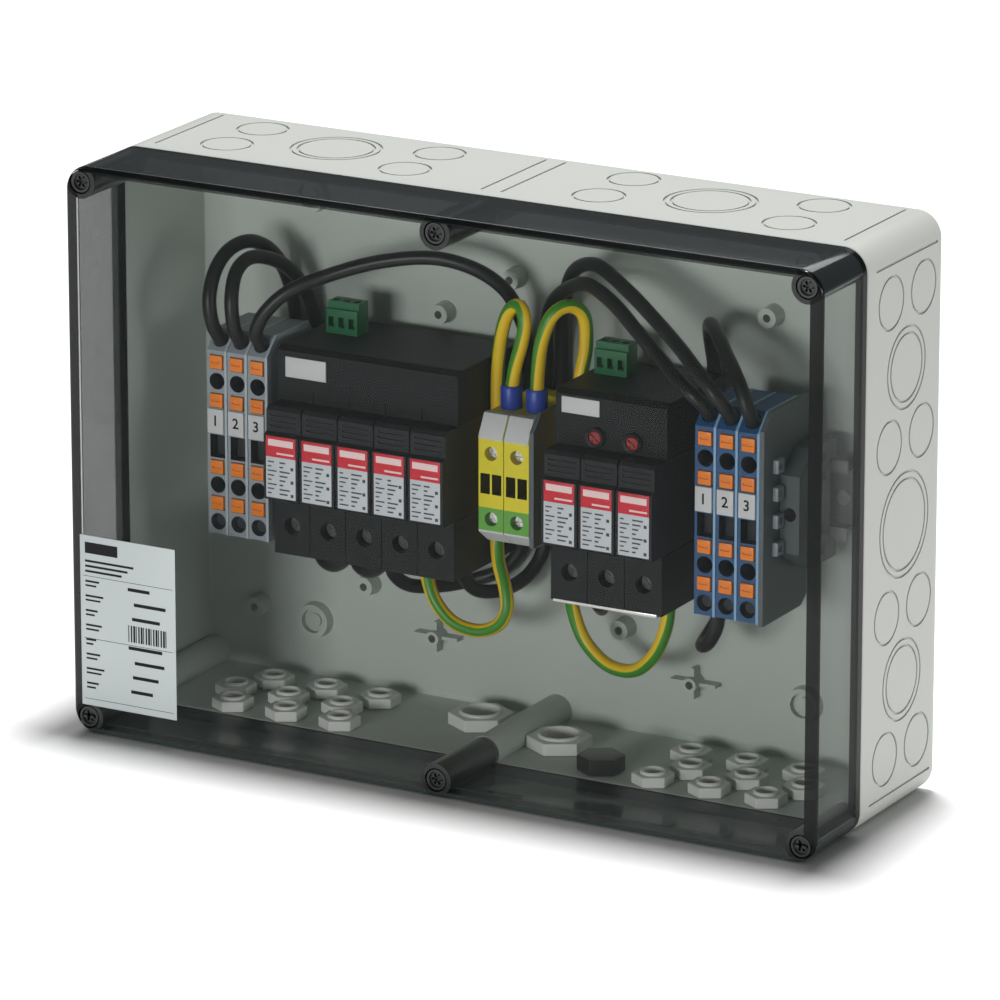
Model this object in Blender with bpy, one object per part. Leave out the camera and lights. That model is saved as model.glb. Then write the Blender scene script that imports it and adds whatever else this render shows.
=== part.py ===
"""DC combiner box: a wall-mounted polycarbonate enclosure with a smoky lid, holding
string terminals, two surge protection devices and earth terminals on a DIN rail.

Frame: metres, +X across the box, +Y towards the wall, +Z up. The origin is the middle
of the closed box's bottom face. Depths are measured from the back face towards the lid.
"""
import math

import bmesh
import bpy
from mathutils import Matrix, Vector

MM = 0.001
GAP = 0.3 * MM                     # air left between neighbouring pieces

# Enclosure
WIDTH = 361 * MM
HEIGHT = 254 * MM
DEPTH = 111 * MM
SEAM = 70 * MM                     # depth of the base shell's rim
WALL = 3.5 * MM
CORNER_R = 11 * MM
CORNER_STEPS = 5
RIM_STEP = 1.5 * MM                # outer lip of the rim, beside the gasket
GASKET_SEAT = 1.8 * MM             # how far the gasket's seat lies below the rim
LID_EDGE = 2 * MM                  # bevel around the lid's face
SCREW_INSET = 7.3 * MM
COLUMN_R = 7.2 * MM                # trimmed to the case's outline
TRIM = 0.3 * MM
PANEL_RECESS = 1.5 * MM            # bottom face, around the cable entries
RIB_HALF = 5 * MM                  # rib between the bottom face's two recesses

# DIN rail, 35 x 7.5 mm
RAIL_Z = 128 * MM
RAIL_BACK = 11.5 * MM
RAIL_LEFT = -152 * MM
RAIL_RIGHT = 147 * MM
RAIL_SCREW_XS = (-147 * MM, 143 * MM)

# Modular terminals, four clamps each
TERMINAL_PITCH = 10.2 * MM
TERMINAL_WIDTH = 9.9 * MM
TERMINAL_FRONT = 62 * MM
STRING_TERMINAL_X = -135.8 * MM
RETURN_TERMINAL_X = 102.2 * MM
BUTTON_ROWS = {"upper": 32.4 * MM, "lower": -31 * MM}
BUTTON_TRAVEL = 1.5 * MM

# Surge protection devices
MODULE = 17.8 * MM
SPD_BACK = 13 * MM
SPD_UPPER = 64 * MM
SPD_LOWER = 68 * MM
SPD_FRONT = 77 * MM
BAY_FLOOR = 36 * MM
BAY_HALF = 21 * MM
SPD_TOP = 45 * MM
SPD_BOTTOM = -47 * MM
WIRE_CLAMP_DEPTH = 45 * MM         # where wires enter the devices' undersides
STRING_SPD_LEFT = -103.9 * MM
EARTH_SPD_LEFT = 32 * MM

# Earth terminals
EARTH_XS = (-1.5 * MM, 10.9 * MM)
EARTH_WIDTH = 12 * MM
EARTH_FRONT = 60 * MM
EARTH_CLAMP_DEPTH = 42 * MM

# Cable entries in the floor
SMALL_ENTRY_R = 5.8 * MM
SMALL_ROWS = ((24.5, (77, 104, 131)), (42, (86, 113, 140)), (59.5, (77, 104, 131)))
LARGE_ENTRIES = {"left": (-25, 27), "right": (20, 38)}
LARGE_ENTRY_R = 10 * MM
VENT_PLACE = (50, 56)
VENT_R = 7 * MM

# Wires
BLACK_R = 3.1 * MM
EARTH_R = 3.0 * MM
WIRE_SPACING = 11 * MM

COLOURS = {
    "grey_polycarbonate": ((0.62, 0.63, 0.61), 0.45, 0.0),
    "smoky_polycarbonate": ((0.16, 0.20, 0.19), 0.10, 0.0),
    "foam_rubber": ((0.05, 0.05, 0.05), 0.90, 0.0),
    "black_plastic": ((0.03, 0.03, 0.03), 0.40, 0.0),
    "device_black": ((0.035, 0.037, 0.04), 0.50, 0.0),
    "zinc_steel": ((0.72, 0.72, 0.70), 0.30, 1.0),
    "terminal_grey": ((0.38, 0.43, 0.45), 0.50, 0.0),
    "terminal_blue": ((0.05, 0.22, 0.52), 0.50, 0.0),
    "terminal_yellow": ((0.85, 0.72, 0.05), 0.50, 0.0),
    "button_orange": ((0.95, 0.35, 0.05), 0.45, 0.0),
    "connector_green": ((0.03, 0.30, 0.12), 0.45, 0.0),
    "nut_grey": ((0.60, 0.61, 0.58), 0.45, 0.0),
    "cable_black": ((0.03, 0.03, 0.03), 0.45, 0.0),
    "cable_earth": ((0.75, 0.68, 0.05), 0.45, 0.0),
}


def y_at(depth):
    """World y of a depth measured from the back face."""
    return DEPTH / 2 - depth


def material(name):
    found = bpy.data.materials.get(name)
    if found:
        return found
    colour, roughness, metallic = COLOURS[name]
    made = bpy.data.materials.new(name)
    made.use_nodes = True
    shader = made.node_tree.nodes["Principled BSDF"]
    shader.inputs["Base Color"].default_value = (*colour, 1.0)
    shader.inputs["Roughness"].default_value = roughness
    shader.inputs["Metallic"].default_value = metallic
    made.diffuse_color = (*colour, 1.0)
    return made


# ---------------------------------------------------------------- mesh helpers

def finish(name, bm, finish_name, origin=(0, 0, 0)):
    """Turn a bmesh in world coordinates into a named object with its own origin."""
    bmesh.ops.recalc_face_normals(bm, faces=bm.faces)
    bmesh.ops.translate(bm, verts=bm.verts, vec=-Vector(origin))
    mesh = bpy.data.meshes.new(name)
    bm.to_mesh(mesh)
    bm.free()
    mesh.materials.append(material(finish_name))
    mesh.shade_smooth()
    mesh.set_sharp_from_angle(angle=math.radians(35))
    made = bpy.data.objects.new(name, mesh)
    made.location = origin
    bpy.context.scene.collection.objects.link(made)
    return made


def loft(bm, rings):
    """Join rings of equal length one after another, and cap both ends."""
    rows = [[bm.verts.new(point) for point in ring] for ring in rings]
    for near, far in zip(rows, rows[1:]):
        for i in range(len(near)):
            j = (i + 1) % len(near)
            bm.faces.new((near[i], near[j], far[j], far[i]))
    bm.faces.new(rows[0])
    bm.faces.new(reversed(rows[-1]))


def band(bm, rings):
    """Join rings of equal length into a closed band, the last to the first."""
    rows = [[bm.verts.new(point) for point in ring] for ring in rings]
    for near, far in zip(rows, rows[1:] + rows[:1]):
        for i in range(len(near)):
            j = (i + 1) % len(near)
            bm.faces.new((near[i], near[j], far[j], far[i]))


def box(bm, low, high):
    """A box from its lowest to its highest corner."""
    size = [high[i] - low[i] for i in range(3)]
    middle = [(high[i] + low[i]) / 2 for i in range(3)]
    made = bmesh.ops.create_cube(bm, size=1.0)["verts"]
    bmesh.ops.scale(bm, verts=made, vec=size)
    bmesh.ops.translate(bm, verts=made, vec=middle)
    return made


def rod(bm, start, end, radius, sides=12):
    """A round bar between two points."""
    start, end = Vector(start), Vector(end)
    turn = Vector((0, 0, 1)).rotation_difference(end - start).to_matrix().to_4x4()
    bmesh.ops.create_cone(bm, cap_ends=True, segments=sides, radius1=radius,
                          radius2=radius, depth=(end - start).length,
                          matrix=Matrix.Translation((start + end) / 2) @ turn)


def extrude_x(bm, outline, left, right):
    """A profile of (depth, height above the rail) points, extruded across x."""
    rings = [[(x, y_at(depth), RAIL_Z + z) for depth, z in outline]
             for x in (left, right)]
    loft(bm, rings)


def combine(target, shapes, operation):
    """Cut a tool mesh out of an object, or add it, and keep the result as its mesh."""
    bmesh.ops.recalc_face_normals(shapes, faces=shapes.faces)
    mesh = bpy.data.meshes.new("tool")
    shapes.to_mesh(mesh)
    shapes.free()
    tool = bpy.data.objects.new("tool", mesh)
    bpy.context.scene.collection.objects.link(tool)
    modifier = target.modifiers.new("shape", "BOOLEAN")
    modifier.object = tool
    modifier.operation = operation
    graph = bpy.context.evaluated_depsgraph_get()
    result = bpy.data.meshes.new_from_object(target.evaluated_get(graph))
    target.modifiers.clear()
    target.data = result
    bpy.data.objects.remove(tool)
    result.shade_smooth()
    result.set_sharp_from_angle(angle=math.radians(35))


def case_ring(inset, depth):
    """The enclosure's rounded outline, drawn in from the outside, at a depth."""
    radius = max(CORNER_R - inset, 1.5 * MM)
    points = []
    corners = ((1, 1, 0), (-1, 1, 90), (-1, -1, 180), (1, -1, 270))
    for side_x, side_z, first in corners:
        centre_x = side_x * (WIDTH / 2 - inset - radius)
        centre_z = HEIGHT / 2 + side_z * (HEIGHT / 2 - inset - radius)
        for step in range(CORNER_STEPS + 1):
            angle = math.radians(first + 90 * step / CORNER_STEPS)
            points.append((centre_x + radius * math.cos(angle), y_at(depth),
                           centre_z + radius * math.sin(angle)))
    return points


def case_screws():
    """Centres of the six lid screws, left to right, bottom row first."""
    xs = (SCREW_INSET - WIDTH / 2, 0.0, WIDTH / 2 - SCREW_INSET)
    return [(x, z) for z in (SCREW_INSET, HEIGHT - SCREW_INSET) for x in xs]


def screw_columns(back, front):
    """The six screw columns between two depths, trimmed to just inside the outline."""
    bm = bmesh.new()
    for x, z in case_screws():
        rod(bm, (x, y_at(back), z), (x, y_at(front), z), COLUMN_R, 16)
    columns = finish("columns", bm, "grey_polycarbonate")
    outline = bmesh.new()
    loft(outline, [case_ring(TRIM, back - 1 * MM), case_ring(TRIM, front + 1 * MM)])
    combine(columns, outline, "INTERSECT")
    trimmed = bmesh.new()
    trimmed.from_mesh(columns.data)
    bpy.data.objects.remove(columns)
    return trimmed


# ---------------------------------------------------------------- enclosure

def small_entries():
    """Centres (x, depth) of the small cable entries, two mirrored groups of nine."""
    return [(side * x * MM, depth * MM)
            for side in (-1, 1) for depth, xs in SMALL_ROWS for x in xs]


def make_base_shell():
    bm = bmesh.new()
    seat = SEAM - GASKET_SEAT
    loft(bm, [case_ring(1.5 * MM, 0), case_ring(0, 1.5 * MM), case_ring(0, SEAM),
              case_ring(RIM_STEP, SEAM), case_ring(RIM_STEP, seat),
              case_ring(WALL, seat), case_ring(WALL, WALL)])
    shell = finish("base_shell", bm, "grey_polycarbonate")

    combine(shell, screw_columns(2 * MM, seat), "UNION")

    bosses = bmesh.new()
    for x, z, radius, top in wall_bosses():
        rod(bosses, (x, y_at(2 * MM), z), (x, y_at(top), z), radius)
    combine(shell, bosses, "UNION")

    holes = bmesh.new()
    for x, z in case_screws():
        rod(holes, (x, y_at(48 * MM), z), (x, y_at(SEAM), z), 2.3 * MM, 8)
    for x, z, radius, top in wall_bosses():
        bottom = -1 * MM if radius > 7 * MM else 4 * MM
        rod(holes, (x, y_at(bottom), z), (x, y_at(top + 1 * MM), z), radius * 0.4, 8)
    combine(shell, holes, "DIFFERENCE")

    recess = bmesh.new()
    for side in (-1, 1):
        ends = sorted((side * RIB_HALF, side * 170 * MM))
        box(recess, (ends[0], y_at(69 * MM), -1 * MM),
            (ends[1], y_at(8 * MM), PANEL_RECESS))
    combine(shell, recess, "DIFFERENCE")

    entries = bmesh.new()
    for x, depth in small_entries():
        rod(entries, (x, y_at(depth), 0), (x, y_at(depth), 6 * MM), SMALL_ENTRY_R)
    for x, depth in LARGE_ENTRIES.values():
        rod(entries, (x * MM, y_at(depth * MM), 0), (x * MM, y_at(depth * MM), 6 * MM),
            LARGE_ENTRY_R, 16)
    x, depth = VENT_PLACE
    rod(entries, (x * MM, y_at(depth * MM), 0), (x * MM, y_at(depth * MM), 6 * MM),
        VENT_R, 12)
    combine(shell, entries, "DIFFERENCE")


def wall_bosses():
    """(x, z, radius, top depth) of the studs that stand on the back wall."""
    studs = [(-55, 180), (-20, 200), (104, 200), (34, 51), (-93, 51), (-149, 33)]
    rail_feet = [(x / MM, RAIL_Z / MM) for x in RAIL_SCREW_XS]
    wall_fixings = [(side * 121, z) for side in (-1, 1) for z in (30, 224)]
    made = [(x * MM, z * MM, 4.5 * MM, 11 * MM) for x, z in studs]
    made += [(x * MM, z * MM, 4.5 * MM, RAIL_BACK - GAP) for x, z in rail_feet]
    made += [(x * MM, z * MM, 8 * MM, 8 * MM) for x, z in wall_fixings]
    return made


def make_lid():
    bm = bmesh.new()
    start = SEAM + GAP
    face = DEPTH - WALL
    loft(bm, [case_ring(WALL, face), case_ring(WALL, start), case_ring(0, start),
              case_ring(0, DEPTH - LID_EDGE), case_ring(LID_EDGE, DEPTH)])
    lid = finish("lid", bm, "smoky_polycarbonate")

    combine(lid, screw_columns(start, DEPTH - 2.5 * MM), "UNION")

    bores = bmesh.new()
    for x, z in case_screws():
        rod(bores, (x, y_at(SEAM), z), (x, y_at(DEPTH + 1 * MM), z), 2.6 * MM, 8)
    combine(lid, bores, "DIFFERENCE")

    seats = bmesh.new()
    for x, z in case_screws():
        rod(seats, (x, y_at(106 * MM), z), (x, y_at(DEPTH + 1 * MM), z), 5.2 * MM, 16)
    combine(lid, seats, "DIFFERENCE")


def make_gasket():
    bm = bmesh.new()
    low = SEAM - GASKET_SEAT + GAP
    outer = RIM_STEP + GAP
    inner = WALL - 0.1 * MM
    band(bm, [case_ring(outer, low), case_ring(outer, SEAM), case_ring(inner, SEAM),
              case_ring(inner, low)])
    finish("lid_gasket", bm, "foam_rubber")


def make_lid_screws():
    for number, (x, z) in enumerate(case_screws(), start=1):
        bm = bmesh.new()
        rod(bm, (x, y_at(106.3 * MM), z), (x, y_at(110.4 * MM), z), 4.8 * MM, 16)
        screw = finish(f"lid_screw_{number}", bm, "black_plastic", (x, y_at(108 * MM), z))
        shank = bmesh.new()
        rod(shank, Vector((0, -1 * MM, 0)), Vector((0, 58 * MM, 0)), 1.9 * MM, 8)
        bmesh.ops.translate(shank, verts=shank.verts, vec=screw.location)
        combine_local(screw, shank, "UNION")
        slot = bmesh.new()
        box(slot, (x - 4 * MM, y_at(111 * MM), z - 0.7 * MM),
            (x + 4 * MM, y_at(108.4 * MM), z + 0.7 * MM))
        combine_local(screw, slot, "DIFFERENCE")


def combine_local(target, shapes, operation):
    """As combine, for an object that has its own origin: the tool is in world space."""
    place = target.matrix_basis.copy()
    target.matrix_basis = Matrix.Identity(4)
    bmesh.ops.transform(shapes, matrix=place.inverted(), verts=shapes.verts)
    combine(target, shapes, operation)
    target.matrix_basis = place


# ---------------------------------------------------------------- rail

def make_rail():
    thick = 1 * MM
    back, front = RAIL_BACK, RAIL_BACK + 7.5 * MM
    inner, outer = 13 * MM, 17.5 * MM
    outline = [(back, -inner), (front - thick, -inner), (front - thick, -outer),
               (front, -outer), (front, -inner + thick), (back + thick, -inner + thick),
               (back + thick, inner - thick), (front, inner - thick), (front, outer),
               (front - thick, outer), (front - thick, inner), (back, inner)]
    bm = bmesh.new()
    extrude_x(bm, outline, RAIL_LEFT, RAIL_RIGHT)
    rail = finish("din_rail", bm, "zinc_steel")
    holes = bmesh.new()
    for x in RAIL_SCREW_XS:
        rod(holes, (x, y_at(10 * MM), RAIL_Z), (x, y_at(14 * MM), RAIL_Z), 2.1 * MM, 8)
    combine(rail, holes, "DIFFERENCE")
    for side, x in zip(("left", "right"), RAIL_SCREW_XS):
        bm = bmesh.new()
        head = RAIL_BACK + thick + GAP
        rod(bm, (x, y_at(head), RAIL_Z), (x, y_at(head + 2.2 * MM), RAIL_Z), 3.2 * MM)
        screw = finish(f"rail_screw_{side}", bm, "zinc_steel")
        shank = bmesh.new()
        rod(shank, (x, y_at(5 * MM), RAIL_Z), (x, y_at(head + 1 * MM), RAIL_Z),
            1.4 * MM, 8)
        combine(screw, shank, "UNION")


# ---------------------------------------------------------------- terminals

def terminal_outline():
    """Side view of a four-clamp terminal, as (depth, height above the rail)."""
    foot, web = 20.5 * MM, 19.4 * MM
    return [(TERMINAL_FRONT, -45 * MM), (TERMINAL_FRONT, 37.5 * MM),
            (54 * MM, 45.5 * MM), (27 * MM, 45.5 * MM), (21 * MM, 39 * MM),
            (21 * MM, 24 * MM), (13 * MM, 24 * MM), (13 * MM, 18 * MM),
            (web, 18 * MM), (web, -18 * MM), (13 * MM, -18 * MM), (13 * MM, -24 * MM),
            (foot, -24 * MM), (foot, -39 * MM), (27 * MM, -45 * MM)]


def make_terminal(name, x, finish_name):
    half = TERMINAL_WIDTH / 2
    bm = bmesh.new()
    extrude_x(bm, terminal_outline(), x - half, x + half)
    housing = finish(name, bm, finish_name)

    cuts = bmesh.new()
    for height in BUTTON_ROWS.values():
        box(cuts, (x - 3.4 * MM, y_at(TERMINAL_FRONT + 1 * MM), RAIL_Z + height - 3.3 * MM),
            (x + 3.4 * MM, y_at(52 * MM), RAIL_Z + height + 3.3 * MM))
    for height in (23.5, -22.5, -39.5):
        centre = RAIL_Z + height * MM
        rod(cuts, (x, y_at(53 * MM), centre), (x, y_at(TERMINAL_FRONT + 1 * MM), centre),
            3.4 * MM, 10)
    rod(cuts, (x, y_at(55.5 * MM), RAIL_Z + 39 * MM),
        (x, y_at(60 * MM), RAIL_Z + 43.5 * MM), 3.7 * MM, 10)
    rod(cuts, (x, y_at(50 * MM), RAIL_Z - 47 * MM),
        (x, y_at(50 * MM), RAIL_Z - 38 * MM), 3.5 * MM, 10)
    combine(housing, cuts, "DIFFERENCE")

    for row, height in BUTTON_ROWS.items():
        bm = bmesh.new()
        centre = (x, y_at(TERMINAL_FRONT), RAIL_Z + height)
        verts = box(bm, (x - 3.1 * MM, y_at(TERMINAL_FRONT + 0.8 * MM), centre[2] - 3 * MM),
                    (x + 3.1 * MM, y_at(54.5 * MM), centre[2] + 3 * MM))
        rim = [edge for edge in bm.edges
               if all(vert.co.y < centre[1] for vert in edge.verts)]
        bmesh.ops.bevel(bm, geom=rim, offset=0.5 * MM, segments=1, affect="EDGES")
        finish(f"{name}_button_{row}", bm, "button_orange", centre)


def make_end_cover(name, x, front, half, finish_name):
    """A thin plate that closes the open side of the last terminal in a row."""
    bm = bmesh.new()
    outline = [(front, -half), (front, half - 7 * MM), (front - 7 * MM, half),
               (22 * MM, half), (22 * MM, 24 * MM), (20 * MM, 24 * MM),
               (20 * MM, -24 * MM), (22 * MM, -24 * MM), (22 * MM, 4 * MM - half),
               (27 * MM, -half)]
    extrude_x(bm, outline, x, x + 2 * MM)
    finish(name, bm, finish_name)


def make_end_bracket(x):
    """Screw-down stop that keeps the row of terminals from sliding on the rail."""
    outline = [(48 * MM, -17 * MM), (48 * MM, 17 * MM), (36 * MM, 26 * MM),
               (13 * MM, 26 * MM), (13 * MM, 18 * MM), (19.4 * MM, 18 * MM),
               (19.4 * MM, -18 * MM), (13 * MM, -18 * MM), (13 * MM, -26 * MM),
               (36 * MM, -26 * MM)]
    bm = bmesh.new()
    extrude_x(bm, outline, x, x + 9 * MM)
    bracket = finish("end_bracket", bm, "terminal_grey")
    cuts = bmesh.new()
    middle = x + 4.5 * MM
    rod(cuts, (middle, y_at(28 * MM), RAIL_Z), (middle, y_at(50 * MM), RAIL_Z),
        3 * MM, 10)
    combine(bracket, cuts, "DIFFERENCE")


def make_earth_terminal(name, x):
    outline = [(EARTH_FRONT, -25 * MM), (EARTH_FRONT, 17 * MM), (55 * MM, 26 * MM),
               (34 * MM, 26 * MM), (30 * MM, 22 * MM), (22 * MM, 22 * MM),
               (22 * MM, 27 * MM), (13 * MM, 27 * MM), (13 * MM, 18 * MM),
               (19.4 * MM, 18 * MM), (19.4 * MM, -18 * MM), (13 * MM, -18 * MM),
               (13 * MM, -27 * MM), (22 * MM, -27 * MM), (34 * MM, -31 * MM),
               (52 * MM, -31 * MM)]
    half = EARTH_WIDTH / 2
    bm = bmesh.new()
    extrude_x(bm, outline, x - half, x + half)
    body = finish(name, bm, "terminal_yellow")
    cuts = bmesh.new()
    rod(cuts, (x, y_at(EARTH_CLAMP_DEPTH), RAIL_Z + 18 * MM),
        (x, y_at(EARTH_CLAMP_DEPTH), RAIL_Z + 27 * MM), 3.8 * MM, 10)
    for height in (10, -19):
        centre = RAIL_Z + height * MM
        rod(cuts, (x, y_at(52 * MM), centre), (x, y_at(EARTH_FRONT + 1 * MM), centre),
            3 * MM, 10)
    combine(body, cuts, "DIFFERENCE")


# ---------------------------------------------------------------- surge protection

def module_centres(left, count):
    return [left + MODULE * (i + 0.5) for i in range(count)]


def make_spd(name, left, count, connector_x):
    """A base for plug-in surge arresters, its plugs and its signal connector."""
    right = left + MODULE * count - GAP
    outline = [(SPD_LOWER, SPD_BOTTOM), (SPD_LOWER, -BAY_HALF), (BAY_FLOOR, -BAY_HALF),
               (BAY_FLOOR, BAY_HALF), (SPD_UPPER, BAY_HALF), (SPD_UPPER, 43 * MM),
               (SPD_UPPER - 3 * MM, SPD_TOP), (SPD_BACK, SPD_TOP), (SPD_BACK, 18 * MM),
               (19.4 * MM, 18 * MM), (19.4 * MM, -18 * MM), (SPD_BACK, -18 * MM),
               (SPD_BACK, SPD_BOTTOM)]
    bm = bmesh.new()
    extrude_x(bm, outline, left, right)
    base = finish(f"{name}_base", bm, "device_black")

    cuts = bmesh.new()
    for x in module_centres(left, count):
        for height in (-10 * MM, 10 * MM):
            box(cuts, (x - 1.6 * MM, y_at(BAY_FLOOR + 1 * MM), RAIL_Z + height - 3 * MM),
                (x + 1.6 * MM, y_at(29 * MM), RAIL_Z + height + 3 * MM))
        clamp = (x, y_at(WIRE_CLAMP_DEPTH), RAIL_Z + SPD_BOTTOM)
        rod(cuts, (clamp[0], clamp[1], clamp[2] - 1 * MM),
            (clamp[0], clamp[1], clamp[2] + 7 * MM), 3.8 * MM, 10)
        screw = RAIL_Z - 34 * MM
        rod(cuts, (x, y_at(60 * MM), screw), (x, y_at(SPD_LOWER + 1 * MM), screw),
            3 * MM, 10)
    box(cuts, (connector_x - 6.3 * MM, y_at(35.3 * MM), RAIL_Z + SPD_TOP - 6 * MM),
        (connector_x + 6.3 * MM, y_at(30.7 * MM), RAIL_Z + SPD_TOP + 1 * MM))
    combine(base, cuts, "DIFFERENCE")

    for number, x in enumerate(module_centres(left, count), start=1):
        make_plug(f"{name}_plug_{number}", x - GAP / 2)
    make_connector(f"{name}_signal_connector", connector_x)


def make_plug(name, x):
    """One arrester plug: a grip at the top, a flat label face and two contact blades."""
    half_width, half_height = 8.5 * MM, 20.6 * MM
    outline = [(SPD_FRONT, 1 * MM - half_height), (SPD_FRONT, 8.5 * MM),
               (74.5 * MM, 9.5 * MM), (74.5 * MM, 19 * MM), (73 * MM, half_height),
               (BAY_FLOOR + GAP, half_height), (BAY_FLOOR + GAP, -half_height),
               (SPD_FRONT - 1 * MM, -half_height)]
    bm = bmesh.new()
    extrude_x(bm, outline, x - half_width, x + half_width)
    plug = finish(name, bm, "device_black", (x, y_at(BAY_FLOOR), RAIL_Z))
    blades = bmesh.new()
    for height in (-10 * MM, 10 * MM):
        box(blades, (x - 1.2 * MM, y_at(BAY_FLOOR + 2 * MM), RAIL_Z + height - 2.6 * MM),
            (x + 1.2 * MM, y_at(30 * MM), RAIL_Z + height + 2.6 * MM))
    combine_local(plug, blades, "UNION")


def make_connector(name, x):
    """Three-pole plug for the status contact, pushed into the top of the base."""
    bottom = RAIL_Z + SPD_TOP + GAP
    bm = bmesh.new()
    box(bm, (x - 7.8 * MM, y_at(38 * MM), bottom), (x + 7.8 * MM, y_at(28 * MM),
                                                   bottom + 14 * MM))
    connector = finish(name, bm, "connector_green", (x, y_at(33 * MM), bottom))
    tongue = bmesh.new()
    box(tongue, (x - 6 * MM, y_at(35 * MM), bottom - 5.5 * MM),
        (x + 6 * MM, y_at(31 * MM), bottom + 1 * MM))
    combine_local(connector, tongue, "UNION")
    ports = bmesh.new()
    for pole in (-5, 0, 5):
        centre = x + pole * MM
        box(ports, (centre - 1.6 * MM, y_at(35 * MM), bottom + 8 * MM),
            (centre + 1.6 * MM, y_at(31 * MM), bottom + 15 * MM))
    combine_local(connector, ports, "DIFFERENCE")


# ---------------------------------------------------------------- cable entries

def make_large_entries():
    """Flanged sleeves through the floor, each held by a hexagonal locknut inside."""
    sleeve_top = 10.5 * MM
    nut_top = 9.5 * MM
    nut_radius = 14.4 * MM           # clear of the middle screw column
    for side, (x, depth) in LARGE_ENTRIES.items():
        centre = (x * MM, y_at(depth * MM))

        def upright(bm, bottom, top, radius, sides):
            rod(bm, (*centre, bottom), (*centre, top), radius, sides)

        bm = bmesh.new()
        upright(bm, 0.2 * MM, PANEL_RECESS - GAP, 12.8 * MM, 20)
        sleeve = finish(f"large_entry_{side}_sleeve", bm, "nut_grey")
        neck = bmesh.new()
        upright(neck, 0.6 * MM, sleeve_top, LARGE_ENTRY_R - 0.4 * MM, 16)
        combine(sleeve, neck, "UNION")
        bore = bmesh.new()
        upright(bore, -1 * MM, sleeve_top + 1 * MM, 8 * MM, 16)
        combine(sleeve, bore, "DIFFERENCE")

        bm = bmesh.new()
        upright(bm, WALL + GAP, nut_top, nut_radius, 6)
        nut = finish(f"large_entry_{side}_nut", bm, "nut_grey")
        thread = bmesh.new()
        upright(thread, WALL - 1 * MM, nut_top + 1 * MM, LARGE_ENTRY_R, 16)
        combine(nut, thread, "DIFFERENCE")


def make_vent_plug():
    x, y = VENT_PLACE[0] * MM, y_at(VENT_PLACE[1] * MM)
    bm = bmesh.new()
    rod(bm, (x, y, WALL + GAP), (x, y, 11 * MM), 11 * MM, 6)
    plug = finish("vent_plug", bm, "black_plastic")
    neck = bmesh.new()
    rod(neck, (x, y, 0.5 * MM), (x, y, 6 * MM), VENT_R - 0.4 * MM, 12)
    combine(plug, neck, "UNION")


# ---------------------------------------------------------------- wires

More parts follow.
